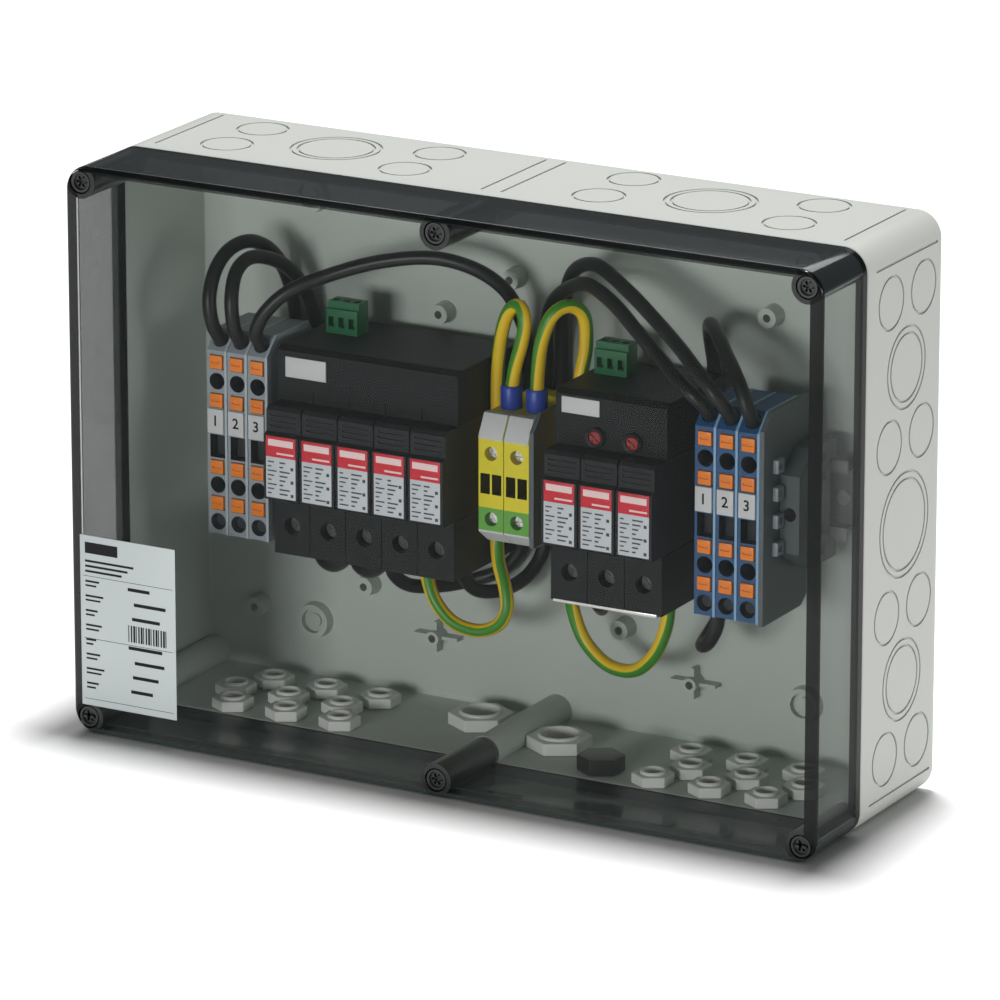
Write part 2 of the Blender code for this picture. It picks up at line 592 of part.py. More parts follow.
# Each route runs from clamp to clamp, as (x, depth, z) in millimetres.
WIRES = {
    "string_wire_1": (BLACK_R, "cable_black", [
        (-135.8, 56.2, 167.7), (-135.8, 60.2, 171.7), (-136.6, 64, 178), (-138, 64, 189),
        (-138.5, 58, 200), (-137.5, 48, 207), (-134.5, 36, 208.5), (-131.5, 24, 202.5),
        (-129.5, 14, 190), (-128.5, 8.5, 174), (-127, 7.5, 156), (-122, 7.5, 128),
        (-112, 7.5, 102), (-106, 7.5, 90), (-103, 8, 80), (-99.5, 12, 71),
        (-96.5, 20, 66.5), (-95.2, 32, 66.5), (-95, 42, 72), (-95, 45, 79),
        (-95, 45, 86.5)]),
    "string_wire_2": (BLACK_R, "cable_black", [
        (-125.6, 56.2, 167.7), (-125.6, 60.2, 171.7), (-126.2, 63.5, 178),
        (-127.5, 63, 190), (-129, 56.5, 200), (-128.5, 46.5, 204), (-125.8, 35.5, 202),
        (-122.6, 24, 195.5), (-119.8, 14.5, 184.5), (-117.6, 8.8, 170), (-115.4, 7.5, 153),
        (-107, 7.5, 126),
        (-94, 7.5, 102), (-88, 7.5, 90), (-84.5, 8, 80), (-80.5, 12, 71),
        (-78, 20, 66.5), (-77.3, 32, 66.5), (-77.2, 42, 72), (-77.2, 45, 79),
        (-77.2, 45, 86.5)]),
    "string_wire_3": (BLACK_R, "cable_black", [
        (-115.4, 56.2, 167.7), (-115.4, 60.2, 171.7), (-114, 65, 178), (-109.5, 64.5, 187),
        (-100, 60, 196.5), (-84, 51, 204), (-64, 44, 210.5), (-42.5, 38, 213.5),
        (-25, 33, 210), (-13.5, 27, 201), (-10.5, 19, 188), (-11.5, 10.5, 174),
        (-12, 7.5, 158), (-12, 7.5, 128), (-12, 7.5, 102), (-13, 7.5, 90),
        (-16, 8, 79), (-23, 11, 70), (-34, 15, 65), (-47, 22, 62), (-56, 34, 64),
        (-59.2, 42.5, 71), (-59.4, 45, 79), (-59.4, 45, 86.5)]),
    "return_wire_1": (BLACK_R, "cable_black", [
        (102.2, 56.2, 167.7), (102.2, 60.2, 171.7), (101.4, 63.6, 175.4),
        (97, 65, 179.5), (89, 62.5, 184), (79, 58, 190), (66, 54, 199),
        (51, 48.5, 208.5), (35.5, 42, 213), (22, 34, 208), (9, 25, 197.5), (1, 16, 184), (-3, 9, 170),
        (-4, 7.5, 152), (-4, 7.5, 128), (-4, 7.5, 100), (-4, 7.5, 88),
        (-5.5, 8.5, 78), (-9.5, 15, 69.5), (-15, 26, 66), (-21, 37, 68),
        (-23.6, 43.5, 75), (-23.8, 45, 81), (-23.8, 45, 86.5)]),
    "return_wire_2": (BLACK_R, "cable_black", [
        (112.4, 56.2, 167.7), (112.4, 60.2, 171.7), (111.6, 63.8, 175.8),
        (107, 65.5, 182), (98.5, 63, 189), (88, 58, 196), (73, 52, 205),
        (56, 46, 214.5), (37, 37, 220.5), (21, 27, 214), (11, 17, 199), (5.5, 9.5, 181), (4, 7.5, 164),
        (4, 7.5, 128), (4, 7.5, 96), (4.5, 8, 84), (6.5, 11, 74), (13, 14, 68.5),
        (26, 19, 66), (36.5, 31, 67), (40.6, 42, 73), (40.9, 45, 79),
        (40.9, 45, 86.5)]),
    "return_wire_3": (BLACK_R, "cable_black", [
        (122.6, 56.2, 167.7), (122.6, 60.2, 171.7), (122, 63, 177), (116, 59.5, 186.5),
        (104, 48, 194), (93, 36, 199), (84, 24, 198), (79, 14, 189),
        (78, 8, 174), (78.5, 7.5, 156), (81, 7.5, 128), (84, 7.5, 102),
        (85, 7.5, 88), (86.5, 11, 76), (87.5, 20, 68.5), (89, 33, 64), (92, 44, 63),
        (98, 49.5, 67), (102, 50, 75), (102.2, 50, 82), (102.2, 50, 88)]),
    "earth_wire_left": (EARTH_R, "cable_earth", [
        (-1.5, 42, 148.5), (-1.5, 42, 160), (0.5, 42.5, 172), (4, 43, 184),
        (5.2, 42.5, 193), (2, 41, 199), (-4, 39, 196), (-8, 38, 187),
        (-10.5, 37, 174), (-11.4, 36.5, 160), (-11.4, 36, 128), (-11.4, 37, 97),
        (-9, 40, 84), (-3.5, 44, 74), (-1.5, 46, 65), (-6, 46, 57),
        (-16, 46, 53), (-28, 46, 55), (-37, 45.5, 63), (-41.4, 45, 74),
        (-41.6, 45, 86.5)]),
    "earth_wire_right": (EARTH_R, "cable_earth", [
        (10.9, 42, 148.5), (10.9, 42, 160), (12, 43, 174), (14, 43.5, 186),
        (18, 42, 197), (23.5, 37, 201), (28, 32, 196), (28, 30, 182),
        (26, 32, 165), (25, 36, 128), (24.5, 38, 97), (24, 38, 80),
        (26, 36, 64), (32, 36, 52), (44, 38, 44.5), (58, 41, 45.5),
        (69, 44, 55), (75, 45, 68), (76.5, 45, 79), (76.5, 45, 86.5)]),
}


def smooth_points(route, spacing):
    """Evenly spaced points on a smooth curve through the route's points."""
    points = [Vector(point) for point in route]
    ends = [points[0] * 2 - points[1]] + points + [points[-1] * 2 - points[-2]]
    fine = []
    for before, start, end, after in zip(ends, ends[1:], ends[2:], ends[3:]):
        for step in range(12):
            t = step / 12
            fine.append(0.5 * (2 * start + (end - before) * t
                               + (2 * before - 5 * start + 4 * end - after) * t ** 2
                               + (3 * start - before - 3 * end + after) * t ** 3))
    fine.append(points[-1])
    lengths = [0.0]
    for near, far in zip(fine, fine[1:]):
        lengths.append(lengths[-1] + (far - near).length)
    count = max(round(lengths[-1] / spacing), 2)
    sampled = []
    index = 0
    for step in range(count + 1):
        goal = lengths[-1] * step / count
        while index < len(fine) - 2 and lengths[index + 1] < goal:
            index += 1
        span = lengths[index + 1] - lengths[index]
        sampled.append(fine[index].lerp(fine[index + 1], (goal - lengths[index]) / span))
    return sampled


def make_wires():
    for name, (radius, finish_name, route) in WIRES.items():
        places = [(x * MM, y_at(depth * MM), z * MM) for x, depth, z in route]
        points = smooth_points(places, WIRE_SPACING)
        curve = bpy.data.curves.new(name, "CURVE")
        curve.dimensions = "3D"
        curve.bevel_depth = radius
        curve.bevel_resolution = 2
        curve.use_fill_caps = True
        spline = curve.splines.new("POLY")
        spline.points.add(len(points) - 1)
        for target, point in zip(spline.points, points):
            target.co = (*point, 1.0)
        curve.materials.append(material(finish_name))
        made = bpy.data.objects.new(name, curve)
        bpy.context.scene.collection.objects.link(made)


# ---------------------------------------------------------------- assembly

for old in list(bpy.data.objects):
    bpy.data.objects.remove(old)

make_base_shell()
make_lid()
make_gasket()
make_lid_screws()
make_rail()
for index in range(3):
    shift = TERMINAL_PITCH * index
    make_terminal(f"string_terminal_{index + 1}", STRING_TERMINAL_X + shift,
                  "terminal_grey")
    make_terminal(f"return_terminal_{index + 1}", RETURN_TERMINAL_X + shift,
                  "terminal_blue")
make_spd("string_spd", STRING_SPD_LEFT, 5, -87.5 * MM)
make_spd("earth_spd", EARTH_SPD_LEFT, 3, 44 * MM)
for index, place_x in enumerate(EARTH_XS, start=1):
    make_earth_terminal(f"earth_terminal_{index}", place_x)
make_end_cover("earth_end_cover", 17.2 * MM, EARTH_FRONT, 29 * MM, "terminal_grey")
make_end_cover("return_end_cover", 127.9 * MM, TERMINAL_FRONT + 0.5 * MM, 46 * MM,
               "terminal_grey")
make_end_bracket(130.2 * MM)
make_large_entries()
make_vent_plug()
make_wires()
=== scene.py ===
"""DC combiner box: the visible surfaces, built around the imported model."""
import math

import bmesh
import bpy
from mathutils import Matrix, Vector


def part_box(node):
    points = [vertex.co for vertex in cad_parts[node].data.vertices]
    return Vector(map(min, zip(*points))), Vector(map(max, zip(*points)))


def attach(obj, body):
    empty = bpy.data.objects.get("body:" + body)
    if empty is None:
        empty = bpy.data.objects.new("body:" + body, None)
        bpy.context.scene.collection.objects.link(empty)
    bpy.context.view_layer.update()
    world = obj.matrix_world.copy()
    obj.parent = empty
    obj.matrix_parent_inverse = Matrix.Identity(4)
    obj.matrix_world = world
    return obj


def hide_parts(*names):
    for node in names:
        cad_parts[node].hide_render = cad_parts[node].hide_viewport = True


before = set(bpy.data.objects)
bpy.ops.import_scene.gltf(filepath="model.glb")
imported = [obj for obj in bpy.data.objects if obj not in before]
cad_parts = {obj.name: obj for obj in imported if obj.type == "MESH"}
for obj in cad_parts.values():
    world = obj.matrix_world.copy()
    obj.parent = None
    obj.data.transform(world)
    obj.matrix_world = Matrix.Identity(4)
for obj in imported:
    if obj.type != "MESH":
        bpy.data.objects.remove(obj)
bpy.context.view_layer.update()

MM = 0.001
SHARP_ANGLE = math.radians(32)      # edges steeper than this are shaded as edges

# ---- sizes, in millimetres

BASE_LOW, BASE_HIGH = [Vector(corner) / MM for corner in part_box("base_shell")]
LID_LOW, LID_HIGH = [Vector(corner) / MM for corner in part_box("lid")]
BACK = BASE_HIGH.y                  # everything's depth is measured from this face
WIDTH = BASE_HIGH.x - BASE_LOW.x
HEIGHT = BASE_HIGH.z - BASE_LOW.z
DEPTH = BACK - LID_LOW.y
SEAM = BACK - BASE_LOW.y
LID_BACK = BACK - LID_HIGH.y
WALL = 3.5
CORNER_R = 11.0
EDGE_R = 2.0
SCREW_INSET = 7.3
POST_R = 7.2
RIM_BAND = 4.0                      # lid wall beside the seam, where it laps the gasket
SIDE_BORDER = 5.6                   # lid face in front of the side walls
TOP_BORDER = 2.6                    # the same, in front of the top and bottom walls

RAIL_Z = 128.0
TERMINAL_PITCH = 10.2
TERMINAL_HALF = 4.95
TERMINAL_FRONT = 62.0
STRING_TERMINAL_X = -135.8
RETURN_TERMINAL_X = 102.2
MODULE = 17.8
STRING_SPD_LEFT = -103.9
EARTH_SPD_LEFT = 32.0
SPD_UPPER = 64.0                    # front of a device's upper step
SPD_LOWER = 68.0                    # and of its lower step, below the plugs
PLUG_FRONT = 77.0
EARTH_XS = (-1.5, 10.9)
EARTH_FRONT = 60.0
SMALL_ROWS = ((24.5, (77, 104, 131)), (42, (86, 113, 140)), (59.5, (77, 104, 131)))
LARGE_ENTRIES = {"left": (-25, 27), "right": (20, 38)}      # (x, depth)
VENT_PLUG_AT = (50, 56)


def place(x, depth, z):
    """A point in metres, from millimetres across, behind the lid and up."""
    return Vector((x * MM, (BACK - depth) * MM, z * MM))


# ---- camera, light, floor

def make_camera():
    data = bpy.data.cameras.new("camera")
    data.lens = 276
    data.sensor_width = 36
    camera = bpy.data.objects.new("camera", data)
    camera.location = (1.5205, -2.7232, 1.0672)
    camera.rotation_euler = (math.radians(90 - 16.95), 0, math.radians(29.17))
    bpy.context.scene.collection.objects.link(camera)
    bpy.context.scene.camera = camera


def area_light(name, place_at, target, size, power):
    data = bpy.data.lights.new(name, "AREA")
    data.shape = "RECTANGLE"
    data.size, data.size_y = size
    data.energy = power
    light = bpy.data.objects.new(name, data)
    light.location = place_at
    aim = Vector(target) - Vector(place_at)
    light.rotation_euler = aim.to_track_quat("-Z", "Y").to_euler()
    bpy.context.scene.collection.objects.link(light)
    return light


def make_studio():
    area_light("overhead", (0.02, 0.14, 2.4), (0, 0, 0.1), (0.3, 0.3), 42)
    floor_light = area_light("floor", (0.02, 0.14, 2.4), (0, 0, 0), (0.3, 0.3), 20)
    area_light("backdrop", (-0.6, 1.5, 1.6), (-0.6, 1.3, 0), (1.6, 1.2), 20)
    fill_lights = (area_light("front", (-0.1, -2.6, 0.36), (0, 0, 0.13), (0.9, 0.5), 41),
                   area_light("side", (2.2, -0.3, 0.5), (0, 0, 0.12), (0.8, 0.6), 17))
    world = bpy.data.worlds.new("studio")
    world.use_nodes = True
    background = world.node_tree.nodes["Background"]
    background.inputs["Color"].default_value = (1, 1, 1, 1)
    background.inputs["Strength"].default_value = 0.12
    bpy.context.scene.world = world
    bpy.context.scene.view_settings.view_transform = "Standard"

    bm = bmesh.new()
    bmesh.ops.create_grid(bm, x_segments=1, y_segments=1, size=6)
    mesh = bpy.data.meshes.new("floor")
    bm.to_mesh(mesh)
    bm.free()
    floor = bpy.data.objects.new("floor", mesh)
    floor.location.z = -0.0002
    mesh.materials.append(finish("floor_paper", (252, 252, 252), 0.9, bump=0.0))
    bpy.context.scene.collection.objects.link(floor)

    for name, lights, state in (("unlit floor", fill_lights, "EXCLUDE"),
                                ("lit floor", (floor_light,), "INCLUDE")):
        receivers = bpy.data.collections.new(name)
        receivers.objects.link(floor)
        receivers.collection_objects[0].light_linking.link_state = state
        for light in lights:
            light.light_linking.receiver_collection = receivers


# ---- materials

def linear(colour):
    """Display colour, 0 to 255, as the shader's linear values."""
    return [(c / 255 / 12.92) if c < 10.3 else ((c / 255 + 0.055) / 1.055) ** 2.4
            for c in colour]


finishes = {}


def finish(name, colour, roughness, bump=0.12, grain=1400, variation=0.05, metallic=0.0,
           coat=0.0, alpha=1.0, specular=0.5):
    """Moulded plastic or metal: a soft mottle, a varied gloss and a fine raised grain."""
    if name in finishes:
        return finishes[name]
    made = bpy.data.materials.new(name)
    made.use_nodes = True
    nodes, links = made.node_tree.nodes, made.node_tree.links
    shader = nodes["Principled BSDF"]
    shader.inputs["Metallic"].default_value = metallic
    shader.inputs["Coat Weight"].default_value = coat
    shader.inputs["Alpha"].default_value = alpha
    shader.inputs["Specular IOR Level"].default_value = specular
    coordinates = nodes.new("ShaderNodeTexCoord")

    mottle = nodes.new("ShaderNodeTexNoise")
    mottle.inputs["Scale"].default_value = 45
    mottle.inputs["Detail"].default_value = 4
    links.new(coordinates.outputs["Object"], mottle.inputs["Vector"])
    blend = nodes.new("ShaderNodeMix")
    blend.data_type = "RGBA"
    base = linear(colour)
    blend.inputs[6].default_value = (*[c * (1 - variation) for c in base], 1)
    blend.inputs[7].default_value = (*[min(c * (1 + variation), 1) for c in base], 1)
    links.new(mottle.outputs["Fac"], blend.inputs[0])
    links.new(blend.outputs[2], shader.inputs["Base Color"])

    fine = nodes.new("ShaderNodeTexNoise")
    fine.inputs["Scale"].default_value = grain
    fine.inputs["Detail"].default_value = 2
    links.new(coordinates.outputs["Object"], fine.inputs["Vector"])
    gloss = nodes.new("ShaderNodeMapRange")
    gloss.inputs["To Min"].default_value = max(roughness - 0.06, 0.02)
    gloss.inputs["To Max"].default_value = min(roughness + 0.06, 1)
    links.new(fine.outputs["Fac"], gloss.inputs["Value"])
    links.new(gloss.outputs["Result"], shader.inputs["Roughness"])
    if bump:
        raised = nodes.new("ShaderNodeBump")
        raised.inputs["Strength"].default_value = bump
        raised.inputs["Distance"].default_value = 0.1 * MM
        links.new(fine.outputs["Fac"], raised.inputs["Height"])
        links.new(raised.outputs["Normal"], shader.inputs["Normal"])
    finishes[name] = made
    return made


def make_finishes():
    finish("enclosure", (183, 186, 181), 0.5, bump=0.25, variation=0.015)
    # The inside finish is a faintly greener copy of the enclosure grey: painted light, the
    # cast of light filtered through the smoky lid.
    finish("enclosure_inside_painted_lid_tint", (184, 193, 185), 0.5, bump=0.25, variation=0.015)
    finish("lid_face", (16, 24, 21), 0.07, bump=0.02, alpha=0.13)
    # Painted shade and reflection: the lid walls are one smoky plastic, but each side gets
    # its own colour and opacity, darkest on the top and left, with a lighter painted
    # reflection on the bottom.
    finish("lid_top_wall_painted_shade", (34, 40, 42), 0.1, bump=0.02, alpha=0.78)
    finish("lid_left_wall_painted_shade", (40, 54, 54), 0.1, bump=0.02, alpha=0.62)
    finish("lid_right_wall_painted_shade", (40, 46, 43), 0.1, bump=0.02, alpha=0.22)
    finish("lid_bottom_wall_painted_reflection", (70, 82, 80), 0.1, bump=0.02, alpha=0.42)
    # Painted shade: the rim by the seam and the face's border strips are near-black and
    # nearly opaque, where the thick clear plastic looks dark; the lower strip is a lighter
    # grey.
    finish("lid_rim_painted_shade", (8, 10, 10), 0.25, bump=0.03, alpha=0.94, specular=0.15)
    finish("lid_border_painted_shade", (8, 10, 10), 0.15, bump=0.02, alpha=0.95, specular=0.2)
    finish("lid_lower_border_painted_shade", (46, 56, 55), 0.12, bump=0.02, alpha=0.8)
    # Painted shade: the clear lid's screw posts are near-black and opaque.
    finish("lid_post_painted_shade", (22, 24, 25), 0.3, bump=0.08, coat=0.3)
    finish("gasket", (18, 19, 19), 0.85, bump=0.6, grain=900)
    finish("screw_black", (28, 29, 30), 0.35, bump=0.1, coat=0.2)
    finish("screw_steel", (226, 226, 222), 0.24, bump=0.1, metallic=1.0)
    # A darker copy of screw_steel: painted shade for the clamp screws deep in their holes.
    finish("clamp_steel_painted_shade", (112, 113, 112), 0.4, bump=0.1, metallic=1.0)
    finish("rail_steel", (128, 131, 128), 0.4, bump=0.02, metallic=1.0)
    finish("terminal_grey", (143, 152, 157), 0.45)
    # The rib finishes are lighter copies of the housing colours: a painted highlight along
    # each terminal's edge.
    finish("terminal_grey_rib", (170, 181, 187), 0.45)
    finish("terminal_blue", (19, 76, 122), 0.42)
    finish("terminal_blue_rib", (132, 172, 203), 0.42)
    # Painted shade: near-black for the faces inside the terminals' holes and pockets.
    finish("terminal_hole_painted_shade", (16, 22, 32), 0.6)
    finish("button_orange", (236, 130, 22), 0.38)
    finish("marker_white", (202, 205, 204), 0.5, variation=0.02)
    finish("print_black", (18, 19, 21), 0.7, specular=0.2)
    finish("print_grey", (74, 77, 82), 0.7, specular=0.2)
    finish("device_black", (24, 26, 28), 0.46, bump=0.3, specular=0.2)
    finish("plug_black", (30, 32, 35), 0.42, bump=0.25, specular=0.25)
    finish("label_white", (200, 206, 209), 0.45, variation=0.02)
    finish("rating_paper", (170, 178, 178), 0.4, variation=0.02)
    finish("label_red", (206, 22, 44), 0.42, variation=0.04)
    finish("label_blank", (240, 214, 212), 0.5, variation=0.02)
    finish("indicator_red", (150, 24, 26), 0.25, coat=0.5)
    finish("connector_green", (22, 104, 60), 0.42)
    finish("terminal_yellow", (228, 214, 22), 0.42)
    finish("terminal_green", (94, 168, 58), 0.42)
    # A darkened copy of terminal_yellow: painted shade inside the earth terminals' clamp
    # recesses.
    finish("clamp_recess_painted_shade", (74, 74, 22), 0.6)
    finish("ferrule_blue", (30, 66, 168), 0.4)
    finish("bracket_grey", (72, 80, 82), 0.5, bump=0.2)
    finish("cover_grey", (84, 92, 96), 0.45)
    finish("nut_grey", (214, 218, 212), 0.45, bump=0.2, variation=0.02)
    finish("cable_black", (26, 28, 29), 0.38, bump=0.18, grain=700, specular=0.3)
    finish("cable_yellow", (232, 196, 18), 0.4, bump=0.15, grain=700)
    finish("cable_green", (60, 138, 30), 0.4, bump=0.15, grain=700)


# ---- mesh tools

def loft(bm, rings):
    """Skin between rings of equal count, with both ends filled."""
    rows = [[bm.verts.new(point) for point in ring] for ring in rings]
    count = len(rows[0])
    for near, far in zip(rows, rows[1:]):
        for i in range(count):
            j = (i + 1) % count
            bm.faces.new((near[i], near[j], far[j], far[i]))
    bm.faces.new(rows[0][::-1])
    bm.faces.new(rows[-1])


def rod(bm, start, end, radius, sides=32, end_radius=None):
    """A round bar, or a cone, between two points."""
    start, end = Vector(start), Vector(end)
    turn = Vector((0, 0, 1)).rotation_difference(end - start).to_matrix().to_4x4()
    bmesh.ops.create_cone(bm, cap_ends=True, segments=sides, radius1=radius * MM,
                          radius2=(radius if end_radius is None else end_radius) * MM,
                          depth=(end - start).length,
                          matrix=Matrix.Translation((start + end) / 2) @ turn)


def block(bm, low, high, edge=0.0):
    """A box between two (x, depth, z) corners, with its edges rounded."""
    start, end = place(*low), place(*high)
    size = [abs(b - a) for a, b in zip(start, end)]
    made = bmesh.ops.create_cube(bm, size=1.0)["verts"]
    bmesh.ops.scale(bm, verts=made, vec=size)
    bmesh.ops.translate(bm, verts=made, vec=(start + end) / 2)
    if edge:
        edges = list({e for v in made for e in v.link_edges})
        bmesh.ops.bevel(bm, geom=edges, offset=edge * MM, segments=2, profile=0.6,
                        affect="EDGES")


def round_edges(bm, edge, segments):
    """Round the mesh's sharp edges."""
    sharp = [e for e in bm.edges if e.calc_face_angle(0) > math.radians(20)]
    bmesh.ops.bevel(bm, geom=sharp, offset=edge * MM, segments=segments, profile=0.6,
                    affect="EDGES", clamp_overlap=True)


def profile_solid(bm, outline, left, right, edge=0.0, segments=2):
    """An outline of (depth, height above the rail), extruded across x, edges rounded."""
    loft(bm, [[place(x, depth, RAIL_Z + z) for depth, z in outline]
              for x in (left, right)])
    if edge:
        round_edges(bm, edge, segments)


def close_ring(bm, rows):
    """Skin a closed chain of sections, the last joined to the first."""
    count = len(rows[0])
    for near, far in zip(rows, rows[1:] + rows[:1]):
        for k in range(count):
            m = (k + 1) % count
            bm.faces.new((near[k], near[m], far[m], far[k]))


def lathe(bm, centre, profile, axis="Z", segments=48):
    """A ring turned from a closed profile of (radius, height) about an upright axis."""
    rows = []
    for i in range(segments):
        angle = 2 * math.pi * i / segments
        ring = []
        for radius, height in profile:
            across, along = radius * math.cos(angle) * MM, radius * math.sin(angle) * MM
            if axis == "Z":
                offset = Vector((across, along, height * MM))
            else:
                offset = Vector((across, -height * MM, along))
            ring.append(bm.verts.new(centre + offset))
        rows.append(ring)
    close_ring(bm, rows)


def piece(name, bm, body, slot, *materials, smooth=SHARP_ANGLE, replaces=()):
    """Make a mesh a piece on a body. Its finish is the slot's, unless others are named."""
    bmesh.ops.recalc_face_normals(bm, faces=bm.faces)
    mesh = bpy.data.meshes.new(name)
    bm.to_mesh(mesh)
    bm.free()
    made = bpy.data.objects.new(name, mesh)
    bpy.context.scene.collection.objects.link(made)
    for material in materials or (slot,):
        mesh.materials.append(finishes[material])
    mesh.shade_smooth()
    mesh.set_sharp_from_angle(angle=smooth)
    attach(made, body)
    if replaces:
        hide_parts(*replaces)
    return made


def block_piece(name, low, high, body, slot, *materials, edge=0.0, replaces=()):
    """A piece that is one block."""
    bm = bmesh.new()
    block(bm, low, high, edge)
    return piece(name, bm, body, slot, *materials, replaces=replaces)


def combine(target, shapes, operation):
    """Cut a tool out of a piece, or add it, and keep the result as its mesh."""
    bmesh.ops.recalc_face_normals(shapes, faces=shapes.faces)
    mesh = bpy.data.meshes.new("tool")
    shapes.to_mesh(mesh)
    shapes.free()
    tool = bpy.data.objects.new("tool", mesh)
    bpy.context.scene.collection.objects.link(tool)
    modifier = target.modifiers.new("shape", "BOOLEAN")
    modifier.object = tool
    modifier.operation = operation
    graph = bpy.context.evaluated_depsgraph_get()
    result = bpy.data.meshes.new_from_object(target.evaluated_get(graph))
    target.modifiers.clear()
    target.data = result
    bpy.data.objects.remove(tool)
    result.shade_smooth()
    result.set_sharp_from_angle(angle=SHARP_ANGLE)


def paint(target, material, chosen):
    """Give the faces that a test picks a further material."""
    target.data.materials.append(finishes[material])
    index = len(target.data.materials) - 1
    for face in target.data.polygons:
        centre = face.center / MM
        if chosen(centre.x, BACK - centre.y, centre.z, face.normal):
            face.material_index = index


# ---- wires

# Each route runs from clamp to clamp, as (x, depth, z) in millimetres.
BLACK_DIAMETER = 6.2
EARTH_DIAMETER = 6.0
WIRES = {
    "string_wire_1": [
        (-135.8, 56.2, 167.7), (-135.8, 60.2, 171.7), (-136.6, 64, 178), (-138, 64, 189),
        (-138.5, 58, 200), (-137.5, 48, 207), (-134.5, 36, 208.5), (-131.5, 24, 202.5),
        (-129.5, 14, 190), (-128.5, 8.5, 174), (-127, 7.5, 156), (-122, 7.5, 128),
        (-112, 7.5, 102), (-106, 7.5, 90), (-103, 8, 80), (-99.5, 12, 71),
        (-96.5, 20, 66.5), (-95.2, 32, 66.5), (-95, 42, 72), (-95, 45, 79),
        (-95, 45, 86.5)],
    "string_wire_2": [
        (-125.6, 56.2, 167.7), (-125.6, 60.2, 171.7), (-126.2, 63.5, 178),
        (-127.5, 63, 190), (-129, 56.5, 200), (-128.5, 46.5, 204), (-125.8, 35.5, 202),
        (-122.6, 24, 195.5), (-119.8, 14.5, 184.5), (-117.6, 8.8, 170), (-115.4, 7.5, 153),
        (-107, 7.5, 126), (-94, 7.5, 102), (-88, 7.5, 90), (-84.5, 8, 80),
        (-80.5, 12, 71), (-78, 20, 66.5), (-77.3, 32, 66.5), (-77.2, 42, 72),
        (-77.2, 45, 79), (-77.2, 45, 86.5)],
    "string_wire_3": [
        (-115.4, 56.2, 167.7), (-115.4, 60.2, 171.7), (-114, 65, 178), (-109.5, 64.5, 187),
        (-100, 60, 196.5), (-84, 51, 204), (-64, 44, 210.5), (-42.5, 38, 213.5),
        (-25, 33, 210), (-13.5, 27, 201), (-10.5, 19, 188), (-11.5, 10.5, 174),
        (-12, 7.5, 158), (-12, 7.5, 128), (-12, 7.5, 102), (-13, 7.5, 90),
        (-16, 8, 79), (-23, 11, 70), (-34, 15, 65), (-47, 22, 62), (-56, 34, 64),
        (-59.2, 42.5, 71), (-59.4, 45, 79), (-59.4, 45, 86.5)],
    "return_wire_1": [
        (102.2, 56.2, 167.7), (102.2, 60.2, 171.7), (101.4, 63.6, 175.4),
        (97, 65, 179.5), (89, 62.5, 184), (79, 58, 190), (66, 54, 199),
        (51, 48.5, 208.5), (35.5, 42, 213), (22, 34, 208), (9, 25, 197.5),
        (1, 16, 184), (-3, 9, 170), (-4, 7.5, 152), (-4, 7.5, 128), (-4, 7.5, 100),
        (-4, 7.5, 88), (-5.5, 8.5, 78), (-9.5, 15, 69.5), (-15, 26, 66), (-21, 37, 68),
        (-23.6, 43.5, 75), (-23.8, 45, 81), (-23.8, 45, 86.5)],
    "return_wire_2": [
        (112.4, 56.2, 167.7), (112.4, 60.2, 171.7), (111.6, 63.8, 175.8),
        (107, 65.5, 182), (98.5, 63, 189), (88, 58, 196), (73, 52, 205),
        (56, 46, 214.5), (37, 37, 220.5), (21, 27, 214), (11, 17, 199),
        (5.5, 9.5, 181), (4, 7.5, 164), (4, 7.5, 128), (4, 7.5, 96), (4.5, 8, 84),
        (6.5, 11, 74), (13, 14, 68.5), (26, 19, 66), (36.5, 31, 67), (40.6, 42, 73),
        (40.9, 45, 79), (40.9, 45, 86.5)],
    "return_wire_3": [
        (122.6, 56.2, 167.7), (122.6, 60.2, 171.7), (122, 63, 177), (116, 59.5, 186.5),
        (104, 48, 194), (93, 36, 199), (84, 24, 198), (79, 14, 189), (78, 8, 174),
        (78.5, 7.5, 156), (81, 7.5, 128), (84, 7.5, 102), (85, 7.5, 88),
        (86.5, 11, 76), (87.5, 20, 68.5), (89, 33, 64), (92, 44, 63),
        (98, 49.5, 67), (102, 50, 75), (102.2, 50, 82), (102.2, 50, 88)],
    "earth_wire_left": [
        (-1.5, 42, 148.5), (-1.5, 42, 160), (0.5, 42.5, 172), (4, 43, 184),
        (5.2, 42.5, 193), (2, 41, 199), (-4, 39, 196), (-8, 38, 187),
        (-10.5, 37, 174), (-11.4, 36.5, 160), (-11.4, 36, 128), (-11.4, 37, 97),
        (-9, 40, 84), (-3.5, 44, 74), (-1.5, 46, 65), (-6, 46, 57),
        (-16, 46, 53), (-28, 46, 55), (-37, 45.5, 63), (-41.4, 45, 74),
        (-41.6, 45, 86.5)],
    "earth_wire_right": [
        (10.9, 42, 148.5), (10.9, 42, 160), (12, 43, 174), (14, 43.5, 186),
        (18, 42, 197), (23.5, 37, 201), (28, 32, 196), (28, 30, 182),
        (26, 32, 165), (25, 36, 128), (24.5, 38, 97), (24, 38, 80),
        (26, 36, 64), (32, 36, 52), (44, 38, 44.5), (58, 41, 45.5),
        (69, 44, 55), (75, 45, 68), (76.5, 45, 79), (76.5, 45, 86.5)],
}


